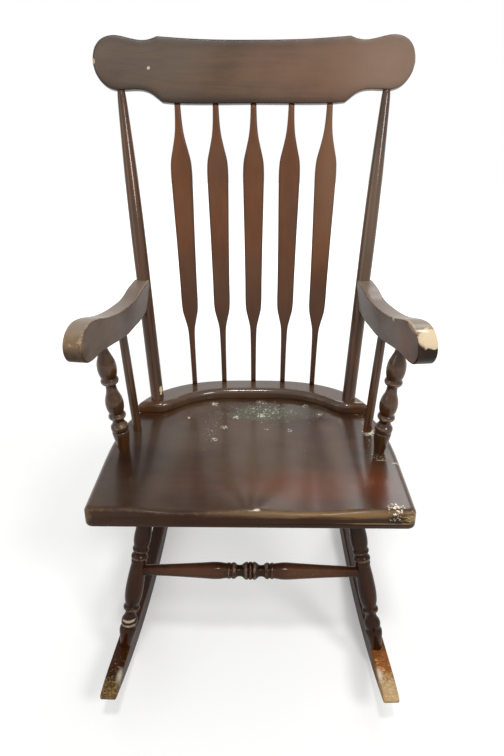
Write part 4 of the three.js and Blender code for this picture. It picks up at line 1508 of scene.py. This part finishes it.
class RepeatTree(NodeTree):
    """The geometry tree that sets a template on points, each turned and stretched to its own length."""

    INPUTS = (
        ("Stands", "NodeSocketGeometry"),
        ("Template", "NodeSocketObject"),
        ("Finish", "NodeSocketMaterial"),
        ("Turn", "NodeSocketFloat"),
        ("Seed", "NodeSocketInt"),
    )

    def __init__(self, name: str) -> None:
        """Writes the tree.

        Args:
            name: Name of the tree.
        """
        super().__init__(bpy.data.node_groups.new(name, "GeometryNodeTree"))
        for socket, kind in self.INPUTS:
            self.tree.interface.new_socket(socket, in_out="INPUT", socket_type=kind)
        self.tree.interface.new_socket("Pieces", in_out="OUTPUT", socket_type="NodeSocketGeometry")
        given = self.raw("NodeGroupInput").outputs
        axis = self._named("axis", "FLOAT_VECTOR")
        upright = self._made("FunctionNodeAlignRotationToVector", {"axis": "Z"}, {"Vector": axis})
        backwards = {"Rotation": upright, "Vector": (0.0, 1.0, 0.0)}
        facing = self._made("FunctionNodeAlignRotationToVector", {"axis": "Y", "pivot_axis": "Z"}, backwards)
        least = self._made("ShaderNodeMath", {"operation": "MULTIPLY"}, {0: given["Turn"], 1: -1.0})
        chance = self.raw("FunctionNodeRandomValue", {"data_type": "FLOAT"}, {"Seed": given["Seed"]})
        self.tree.links.new(least, chance.inputs[2])
        self.tree.links.new(given["Turn"], chance.inputs[3])
        spin = self._made("ShaderNodeCombineXYZ", {}, {"Z": chance.outputs[1]})
        spin = self._made("FunctionNodeEulerToRotation", {}, {0: spin})
        turned = self._made("FunctionNodeRotateRotation", {"rotation_space": "LOCAL"}, {0: facing, 1: spin})
        template = self.raw("GeometryNodeObjectInfo", {}, {"Object": given["Template"]}).outputs["Geometry"]
        placed = {"Points": given["Stands"], "Instance": template, "Rotation": turned}
        copies = self._made("GeometryNodeInstanceOnPoints", {}, placed)
        real = self._made("GeometryNodeRealizeInstances", {}, {"Geometry": copies})
        shares = {0: self._named("longer", "FLOAT"), 1: self._named(Mark.STRETCH.value, "FLOAT")}
        reach = self._made("ShaderNodeMath", {"operation": "MULTIPLY"}, shares)
        shift = self._made("ShaderNodeVectorMath", {"operation": "SCALE"}, {0: axis, "Scale": reach})
        moved = self._made("GeometryNodeSetPosition", {}, {"Geometry": real, "Offset": shift})
        step = {0: COPY_STEP, "Scale": self._named("blank", "FLOAT")}
        blank = self._made("ShaderNodeVectorMath", {"operation": "SCALE"}, step)
        places = {0: self._named(Mark.WOOD.value, "FLOAT_VECTOR"), 1: blank}
        wood = self._made("ShaderNodeVectorMath", {"operation": "ADD"}, places)
        laid = self._made(
            "GeometryNodeStoreNamedAttribute",
            {"data_type": "FLOAT_VECTOR", "domain": "POINT"},
            {"Geometry": moved, "Name": Mark.WOOD.value, "Value": wood},
        )
        dressed = self._made("GeometryNodeSetMaterial", {}, {"Geometry": laid, "Material": given["Finish"]})
        self.raw("NodeGroupOutput", {}, {0: dressed})

    def _made(self, kind: str, settings: dict, sockets: dict) -> NodeSocket:
        """Adds a node and gives its first output."""
        return self.raw(kind, settings, sockets).outputs[0]

    def _named(self, name: str, kind: str) -> NodeSocket:
        """Gives a stored attribute."""
        return self._made("GeometryNodeInputNamedAttribute", {"data_type": kind}, {"Name": name})

    def spread(
        self,
        name: str,
        template: Object,
        stands: Sequence[Stand],
        finish: Material,
        turn: float,
        seed: int,
    ) -> Object:
        """Sets the template on every stand and makes the result one plain mesh.

        Args:
            name: Name of the new piece.
            template: Object along Z from the origin, which is removed afterwards.
            stands: Where the copies stand.
            finish: Material of them all.
            turn: How far each copy may turn about its axis, in radians.
            seed: Seed of those turns.

        Returns:
            The new piece.
        """
        points = bpy.data.meshes.new(f"{name}_stands")
        points.from_pydata([tuple(stand.start) for stand in stands], [], [])
        store(points, "axis", [stand.along for stand in stands])
        store(points, "longer", [stand.longer for stand in stands])
        store(points, "blank", range(len(stands)))
        holder = linked(f"{name}_holder", points)
        modifier = holder.modifiers.new(name, "NODES")
        modifier.node_group = self.tree
        wanted = {"Template": template, "Finish": finish, "Turn": turn, "Seed": seed}
        for item in self.tree.interface.items_tree:
            if item.in_out == "INPUT" and item.name in wanted:
                modifier[item.identifier] = wanted[item.name]
        graph = bpy.context.evaluated_depsgraph_get()
        mesh = bpy.data.meshes.new_from_object(
            holder.evaluated_get(graph), preserve_all_data_layers=True, depsgraph=graph
        )
        mesh.name = name
        holder.modifiers.remove(modifier)
        bpy.data.objects.remove(holder)
        bpy.data.objects.remove(template)
        return linked(name, mesh)


# Sub-assemblies


@dataclass
class SubAssembly:
    frame: dict
    tree: RepeatTree

    def settle(self, piece: Object, slot: Slot, finish: Material, nodes: Iterable[str]) -> None:
        """Dresses a piece, hangs it on the root body and hides the CAD nodes that it stands for.

        Args:
            piece: The piece.
            slot: Material slot of the record. Not used.
            finish: Its material, where it has none yet.
            nodes: Names of the CAD nodes.
        """
        if not piece.data.materials:
            piece.data.materials.append(finish)
        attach(piece, ROOT_BODY)
        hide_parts(*nodes)
        LOG.info("%s: %d faces", piece.name, len(piece.data.polygons))

    def turned(self, names: Sequence[str], finish: Material, first_blank: int) -> None:
        """Makes the turnings of these names, each from its own blank.

        Args:
            names: Names of the CAD nodes.
            finish: Material of them all.
            first_blank: Number of the first one's blank.
        """
        for blank, name in enumerate(names, first_blank):
            turning = Turning.read(self.frame["nodes"][name])
            piece = TurnedPiece(name).build(turning)
            lay_grain(piece, turning.along, (0, 1, 0), blank)
            self.settle(piece, Slot.TURNED, finish, [name])

    def screws(
        self,
        name: str,
        nodes: Sequence[str],
        finish: Material,
        seed: int,
        proud: float = 0.0,
    ) -> None:
        """Sets a fine screw in place of each CAD screw.

        Args:
            name: Name of the piece that holds them.
            nodes: Names of the CAD screws.
            finish: Their steel.
            seed: Seed of their turns.
            proud: How far they stand out of the CAD screws' places, in millimetres.
        """
        screw = WoodScrew(proud=proud)
        stands = [screw.stand(self.frame["nodes"][node]) for node in nodes]
        piece = self.tree.spread(name, screw.template(), stands, finish, math.pi, seed)
        self.settle(piece, Slot.SCREW, finish, nodes)


@dataclass(frozen=True)
class WoodScrew:
    """A slotted, countersunk wood screw along Z, with its head at the origin."""

    head: float = 4.5
    head_depth: float = 3.4
    shank: float = 2.2
    length: float = 40.0
    point: float = 6.0
    slot_width: float = 1.3
    slot_depth: float = 1.2
    thread_pitch: float = 1.6
    thread_share: float = 0.62
    thread_depth: float = 0.55
    rim: float = 0.25
    tip: float = 0.4
    sharp: float = math.radians(32)
    sides: int = 28
    proud: float = 0.0

    def stand(self, node: Object) -> Stand:
        """Finds where a CAD screw stands.

        Args:
            node: The CAD screw.

        Returns:
            Its stand, from its head to its point.
        """
        turning = Turning.read(node, 0.0)
        start, along, reach = turning.start, turning.along, turning.stations[-1, 0]
        if turning.stations[-1, 1] > turning.stations[0, 1]:
            start, along = start + reach * along, -along
        return Stand(start - self.proud * MM * along, along, reach - self.length * MM)

    def template(self) -> Object:
        """Makes the screw with its slot and its thread.

        Returns:
            The template.
        """
        thread_start = self.length * (1 - self.thread_share)
        stations = [(0.0, self.head - self.rim), (0.2, self.head), (0.6, self.head)]
        stations += [(self.head_depth, self.shank), (thread_start, self.shank)]
        half, bottom = self.thread_pitch / 2, self.shank - self.thread_depth
        reach = thread_start + half
        while reach < self.length - self.point:
            stations += [(reach, self.shank), (reach + half, bottom)]
            reach += self.thread_pitch
        stations += [(self.length - self.point, self.shank - 0.3), (self.length, self.tip)]
        screw = skin("screw_template", round_rings(stations, self.sides), fan=True)
        half, reach = self.slot_width / 2, 2 * self.head
        corners = np.array([[-reach, -half], [reach, -half], [reach, half], [-reach, half]])
        ends = [np.column_stack([corners, np.full(4, height)]) for height in (-1.0, self.slot_depth)]
        cutter = skin("slot_cutter", [Ring(end * MM) for end in ends], fan=False)
        cut = screw.modifiers.new("slot", "BOOLEAN")
        cut.object, cut.operation, cut.solver = cutter, "DIFFERENCE", "EXACT"
        graph = bpy.context.evaluated_depsgraph_get()
        mesh = bpy.data.meshes.new_from_object(screw.evaluated_get(graph), depsgraph=graph)
        bpy.data.objects.remove(screw)
        bpy.data.objects.remove(cutter)
        mesh.set_sharp_from_angle(angle=self.sharp)
        tip = (self.length - self.point - 0.1) * MM
        store(mesh, Mark.STRETCH.value, [vertex.co.z > tip for vertex in mesh.vertices])
        return linked("screw_template", mesh)


@dataclass
class UnderFrame(SubAssembly):
    """Rockers, legs and stretchers."""

    rocker_edge: float = 3.0
    rocker_wear: float = 3.6

    def build(self, wood: Material, sawn: Material) -> None:
        """Builds and dresses the under frame.

        Args:
            wood: Finish of the legs and stretchers.
            sawn: Finish of the rockers.
        """
        names = [f"{end}_leg_{side}" for end in ("front", "rear") for side in SIDES]
        self.turned([*names, "front_stretcher", "rear_stretcher"], wood, Blank.UNDER_TURNINGS)
        for blank, side in enumerate(SIDES, Blank.ROCKERS):
            name = f"rocker_{side}"
            piece = Board(name, self.rocker_edge, wear_reach=self.rocker_wear).build(self.frame)
            lay_grain(piece, (0, 1, 0), (0, 0, 1), blank)
            self.settle(piece, Slot.SAWN, sawn, [name])

    def fasten(self, steel: Material) -> None:
        """Sets the screws under the rockers."""
        nodes = [f"rocker_screw_{end}_{side}" for end in ("front", "rear") for side in SIDES]
        self.screws("rocker_screws", nodes, steel, Seed.ROCKER_SCREWS)


@dataclass
class SeatUnit(SubAssembly):
    """The plank seat and the rail on it."""

    screw_proud: float = 1.7

    def build(self, seat_wood: Material, rail_wood: Material) -> None:
        """Builds and dresses the seat and the rail.

        Args:
            seat_wood: Finish of the seat.
            rail_wood: Finish of the rail.
        """
        seat = Seat().build()
        lay_grain(seat, (1, 0, 0), (0, 0, 1), Blank.SEAT)
        self.settle(seat, Slot.SEAT, seat_wood, ["seat"])
        rail = Rail().build()
        lay_grain(rail, (1, 0, 0), (0, 0, 1), Blank.RAIL)
        self.settle(rail, Slot.SAWN, rail_wood, ["rear_rail"])

    def fasten(self, steel: Material) -> None:
        """Sets the screws under the seat."""
        nodes = [f"rail_screw_{i}" for i in range(1, 5)]
        self.screws("rail_screws", nodes, steel, Seed.RAIL_SCREWS, self.screw_proud)


@dataclass
class Back(SubAssembly):
    """Back posts, arrow spindles and the crest rail with its pins."""

    spindle_width: float = 44.0
    spindle_thickness: float = 10.0
    rail_tenon: float = 16.0
    crest_tenon: float = 22.0
    template_length: float = 600.0
    spindle_shares: tuple[tuple[float, float], ...] = (
        (0, 0.25), (0.08, 0.26), (0.16, 0.29), (0.215, 0.36), (0.25, 0.56), (0.285, 0.76), (0.4, 0.83),
        (0.54, 0.89), (0.7, 0.98), (0.78, 1), (0.815, 0.93), (0.86, 0.66), (0.9, 0.44), (0.94, 0.33),
        (1, 0.27),
    )
    pin_diameter: float = 4.5
    pin_length: float = 14.0
    pin_sides: int = 24
    spindle_sides: int = 48
    squareness: float = 5.0
    corner_pull: float = 0.42
    spindle_turn: float = math.radians(1.0)

    def build(self, turned: Material, crest_wood: Material) -> None:
        """Builds and dresses the back posts and the crest.

        Args:
            turned: Finish of the posts.
            crest_wood: Finish of the crest.
        """
        self.turned([f"back_post_{side}" for side in SIDES], turned, Blank.BACK_POSTS)
        crest = Crest().build()
        lay_grain(crest, (1, 0, 0), (0, 1, 0), Blank.CREST)
        self.settle(crest, Slot.SAWN, crest_wood, ["crest_rail"])

    def spindles(self, wood: Material) -> None:
        """Sets the five arrow spindles.

        Args:
            wood: Their finish.
        """
        nodes = [f"back_spindle_{i}" for i in range(1, 6)]
        stands = []
        for node in nodes:
            turning = Turning.read(self.frame["nodes"][node])
            seen = turning.stations[-1, 0] - (self.rail_tenon + self.crest_tenon) * MM
            start = turning.start + self.rail_tenon * MM * turning.along
            stands.append(Stand(start, turning.along, seen - self.template_length * MM))
        template = self._spindle()
        turn, seed = self.spindle_turn, Seed.SPINDLES
        piece = self.tree.spread("arrow_spindles", template, stands, wood, turn, seed)
        self.settle(piece, Slot.TURNED, wood, nodes)

    def pins(self, wood: Material) -> None:
        """Sets the pins that hold the crest on the back posts.

        Args:
            wood: Their finish.
        """
        nodes = [f"crest_pin_{side}" for side in SIDES]
        stands = []
        for node in nodes:
            turning = Turning.read(self.frame["nodes"][node], 0.0)
            start, along = turning.start, turning.along
            if along[1] > 0:
                start, along = start + turning.stations[-1, 0] * along, -along
            stands.append(Stand(start, along, 0.0))
        piece = self.tree.spread("crest_pins", self._pin(), stands, wood, math.pi, Seed.PINS)
        self.settle(piece, Slot.PIN, wood, nodes)

    def _spindle(self) -> Object:
        """Makes an arrow spindle along Z: turned, then shaved flat on both sides, with soft corners.

        Returns:
            The template.
        """
        size = [self.template_length, self.spindle_width / 2]
        profile = flowing(np.array(self.spindle_shares) * size, 6)
        even = np.arange(self.spindle_sides) / self.spindle_sides * math.tau
        turn = even - self.corner_pull * np.sin(2 * even)
        limit = self.spindle_thickness / 2
        rings = []
        for along, radius in profile:
            deep = radius * np.sin(turn)
            deep = deep / (1 + np.abs(deep / limit) ** self.squareness) ** (1 / self.squareness)
            wide = radius * np.cos(turn)
            # The edges of the flat faces take the groove mark, which the finish darkens as painted shade.
            edge = smoothstep(np.abs(wide) / radius, 0.8, 0.97) * smoothstep(np.array(radius), 6, 14)
            rings.append(Ring(np.column_stack([wide, deep, np.full(len(turn), along)]) * MM, groove=edge))
        piece = skin("spindle_template", rings, fan=True)
        lay_grain(piece, (0, 0, 1), (0, 1, 0), Blank.SPINDLES)
        length = self.template_length * MM
        store(piece.data, Mark.STRETCH.value, [vertex.co.z / length for vertex in piece.data.vertices])
        return piece

    def _pin(self) -> Object:
        """Makes a pin along Z with a slightly crowned head.

        Returns:
            The template.
        """
        radius = self.pin_diameter / 2
        stations = [(0.0, radius * 0.55), (0.1, radius * 0.85), (0.35, radius), (self.pin_length, radius)]
        piece = skin("pin_template", round_rings(stations, self.pin_sides), fan=True)
        lay_grain(piece, (0, 0, 1), (0, 1, 0), Blank.PINS)
        store(piece.data, Mark.STRETCH.value, [0.0] * len(piece.data.vertices))
        return piece


@dataclass
class Arms(SubAssembly):
    """The sawn arms with their turned posts and plain spindles."""

    edge_radius: float = 2.5

    def build(self, arm_wood: Material, turned: Material) -> None:
        """Builds and dresses the arms.

        Args:
            arm_wood: Finish of the arms.
            turned: Finish of their posts and spindles.
        """
        for blank, side in enumerate(SIDES, Blank.ARMS):
            name = f"arm_{side}"
            piece = Board(name, self.edge_radius).build(self.frame)
            lay_grain(piece, (0, 1, 0), (0, 0, 1), blank)
            mark_upward(piece)
            self.settle(piece, Slot.SAWN, arm_wood, [name])
        names = [f"{kind}_{side}" for kind in ("arm_post", "arm_spindle") for side in SIDES]
        self.turned(names, turned, Blank.ARM_TURNINGS)

    def fasten(self, steel: Material) -> None:
        """Sets the screws through the back posts."""
        self.screws("arm_screws", [f"arm_screw_{side}" for side in SIDES], steel, Seed.ARM_SCREWS)


# Studio


@dataclass(frozen=True)
class Lamp:
    """A soft lamp that faces the chair."""

    name: str
    place: tuple[float, float, float]
    size: float
    power: float
    aim: tuple[float, float, float] = (0.0, 0.0, 0.55)

    def add(self) -> None:
        """Adds the lamp."""
        data = bpy.data.lights.new(self.name, "AREA")
        data.shape, data.size, data.energy = "DISK", self.size, self.power
        lamp = linked(self.name, data)
        lamp.location = self.place
        lamp.rotation_euler = (Vector(self.aim) - Vector(self.place)).to_track_quat("-Z", "Y").to_euler()


@dataclass(frozen=True)
class PhotoCamera:
    """The camera as the photograph's perspective gives it: angles in degrees, lens in millimetres."""

    place: tuple[float, float, float] = (0.01966, -1.17154, 1.08868)
    pitch: float = 26.61
    yaw: float = -0.98
    roll: float = -0.18
    lens: float = 31.1
    sensor: float = 36.0
    nearest: float = 0.05

    def add(self) -> None:
        """Adds the camera and makes it the scene's."""
        data = bpy.data.cameras.new("photo_camera")
        data.lens, data.sensor_width, data.clip_start = self.lens, self.sensor, self.nearest
        pitch, yaw, roll = (math.radians(angle) for angle in (self.pitch, self.yaw, self.roll))
        ahead = Vector((math.sin(yaw) * math.cos(pitch), math.cos(yaw) * math.cos(pitch), -math.sin(pitch)))
        right = Vector((math.cos(yaw), -math.sin(yaw), 0))
        up = right.cross(ahead)
        side = right * math.cos(roll) + up * math.sin(roll)
        top = up * math.cos(roll) - right * math.sin(roll)
        camera = linked("photo_camera", data)
        turn = Matrix((side, top, -ahead)).transposed()
        camera.matrix_world = Matrix.Translation(self.place) @ turn.to_4x4()
        bpy.context.scene.camera = camera


@dataclass(frozen=True)
class Studio:
    """A pale floor, a white surround and soft lamps."""

    floor_half: float = 5.0
    floor_seen: str = "#e6e6e4"
    floor_lit: str = "#8f8e8a"
    floor_gap: float = 0.0003
    glow: float = 0.25
    glow_rise: float = 0.6
    glow_run: tuple[float, float] = (0.6, 2.6)
    ambient: float = 0.5
    lamps: tuple[Lamp, ...] = (
        Lamp("key", (1.6, -2.3, 2.6), 0.9, 46.0),
        Lamp("top", (0.1, -1.5, 3.2), 0.4, 28.0),
        Lamp("fill", (-2.6, -1.4, 1.7), 1.8, 12.0),
        Lamp("rear", (0.8, 2.4, 2.5), 1.4, 26.0),
    )

    def build(self) -> None:
        """Builds the studio."""
        for lamp in self.lamps:
            lamp.add()
        self._world()
        self._floor()
        bpy.context.scene.view_settings.view_transform = "Standard"

    @staticmethod
    def _seen(tree: ShaderTree) -> Signal:
        """Tells what the camera sees, also by reflection or through glass.

        Args:
            tree: The tree of the floor or of the world.

        Returns:
            1 where the camera sees it, or else 0.
        """
        rays = tree.raw("ShaderNodeLightPath").outputs
        seen = Signal(tree, rays["Is Camera Ray"])
        for kind in ("Glossy", "Transmission"):
            seen = seen.largest(Signal(tree, rays[f"Is {kind} Ray"]))
        return seen

    def _world(self) -> None:
        """Lights the chair evenly and shows white behind it."""
        world = bpy.data.worlds.new("studio")
        world.use_nodes = True
        bpy.context.scene.world = world
        tree = ShaderTree(world.node_tree)
        light, white = (
            tree.node("ShaderNodeBackground", {}, {"Color": WHITE, "Strength": strength})
            for strength in (self.ambient, 1.0)
        )
        shown = tree.node("ShaderNodeMixShader", {}, {0: self._seen(tree), 1: light, 2: white})
        tree.raw("ShaderNodeOutputWorld", {}, {"Surface": shown})

    def _floor(self) -> None:
        """Lays the floor, whitened where the camera sees it, with the chair's shadow kept."""
        mesh = bpy.data.meshes.new("floor")
        signs = ((-1, -1), (1, -1), (1, 1), (-1, 1))
        mesh.from_pydata([(x * self.floor_half, y * self.floor_half, 0) for x, y in signs], [], [range(4)])
        floor = linked("floor", mesh)
        floor.location.z = -self.floor_gap
        made, tree = new_finish("pale_floor")
        seen = self._seen(tree)
        place = tree.node("ShaderNodeTexCoord", out="Object")
        away = tree.vector("LENGTH", place, out="Value")
        tint = tree.mixed(seen, colour(self.floor_lit), colour(self.floor_seen))
        matt = tree.node("ShaderNodeBsdfDiffuse", {}, {"Color": tint})
        strength = seen * (away.eased(*self.glow_run) * self.glow_rise + self.glow)
        glow = tree.node("ShaderNodeEmission", {}, {"Color": WHITE, "Strength": strength})
        both = tree.node("ShaderNodeAddShader", {}, {0: matt, 1: glow})
        tree.raw("ShaderNodeOutputMaterial", {}, {"Surface": both})
        mesh.materials.append(made)


def main() -> None:
    """Builds and dresses the chair, then sets the studio."""
    logging.basicConfig(level=logging.INFO, format="%(name)s: %(message)s")
    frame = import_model()
    PhotoCamera().add()
    turned = StainedWood(
        "turned_walnut_stain", dark="#281406", light="#5c391c", painted_sheen="#4e3c2b", rubbed="#b39a86",
        painted_sheen_share=0.25, edge_wear=0.35, gloss=0.08, coat=0.6, coat_roughness=0.13, spots=TURNED_SPOTS,
    ).material()
    arrow = StainedWood(
        "arrow_walnut_stain", dark="#4b2a13", light="#704323", painted_sheen_share=0.2, fibre_share=0.12, figure=0.04,
        coat=0.12, spots=ARROW_SPOTS,
    ).material()
    # Darker colours for the legs, stretchers and rockers: painted shade under the seat.
    shaded = {"dark": "#1c0b03", "light": "#41200b", "painted_sheen": "#2a180a", "gloss": 0.03}
    under_turned = StainedWood(
        "shaded_turned_stain", edge_wear=0.4, rubbed="#9a7c68", coat=0.25, coat_roughness=0.15,
        spots=UNDER_SPOTS, **shaded,
    ).material()
    under_sawn = StainedWood("shaded_sawn_stain", coat=0.1, spots=ROCKER_SPOTS, **shaded).material()
    plank = StainedWood(
        "seat_walnut_stain", dark="#28160b", light="#4c2e18", rubbed="#8a6f57", edge_wear=0.28, figure=0.05,
        gloss=0.1, coat=0.42, coat_roughness=0.18, roughness=0.34, spots=SEAT_SPOTS,
    ).material()
    board = StainedWood(
        "rail_walnut_stain", dark="#332012", light="#5a3b25", gloss=0.1, coat=0.85, coat_roughness=0.1,
        roughness=0.3,
    ).material()
    # The crest's edges darken as a painted shade line.
    crest_wood = StainedWood(
        "crest_walnut_stain", dark="#332213", light="#5f432c", painted_sheen="#65533f", edge_shade=0.7,
        spots=CREST_SPOTS,
    ).material()
    arm_wood = StainedWood(
        "arm_walnut_stain", dark="#35210f", light="#5e4328", painted_sheen="#5c4835", rubbed="#a8907a",
        edge_wear=0.5, top_dust_and_sheen=0.75, gloss=0.08, coat=0.15, spots=ARM_SPOTS,
    ).material()
    pin = StainedWood("pale_pin", dark="#3c2a1e", light="#6b4e3a", coat=0.0, roughness=0.5).material()
    steel = ScrewSteel().material()
    tree = RepeatTree("repeated_pieces")
    under, seat, back, arms = (kind(frame, tree) for kind in (UnderFrame, SeatUnit, Back, Arms))
    under.build(under_turned, under_sawn)
    under.fasten(steel)
    seat.build(plank, board)
    seat.fasten(steel)
    back.build(turned, crest_wood)
    back.spindles(arrow)
    back.pins(pin)
    arms.build(arm_wood, turned)
    arms.fasten(steel)
    Studio().build()


if __name__ == "__main__":
    main()
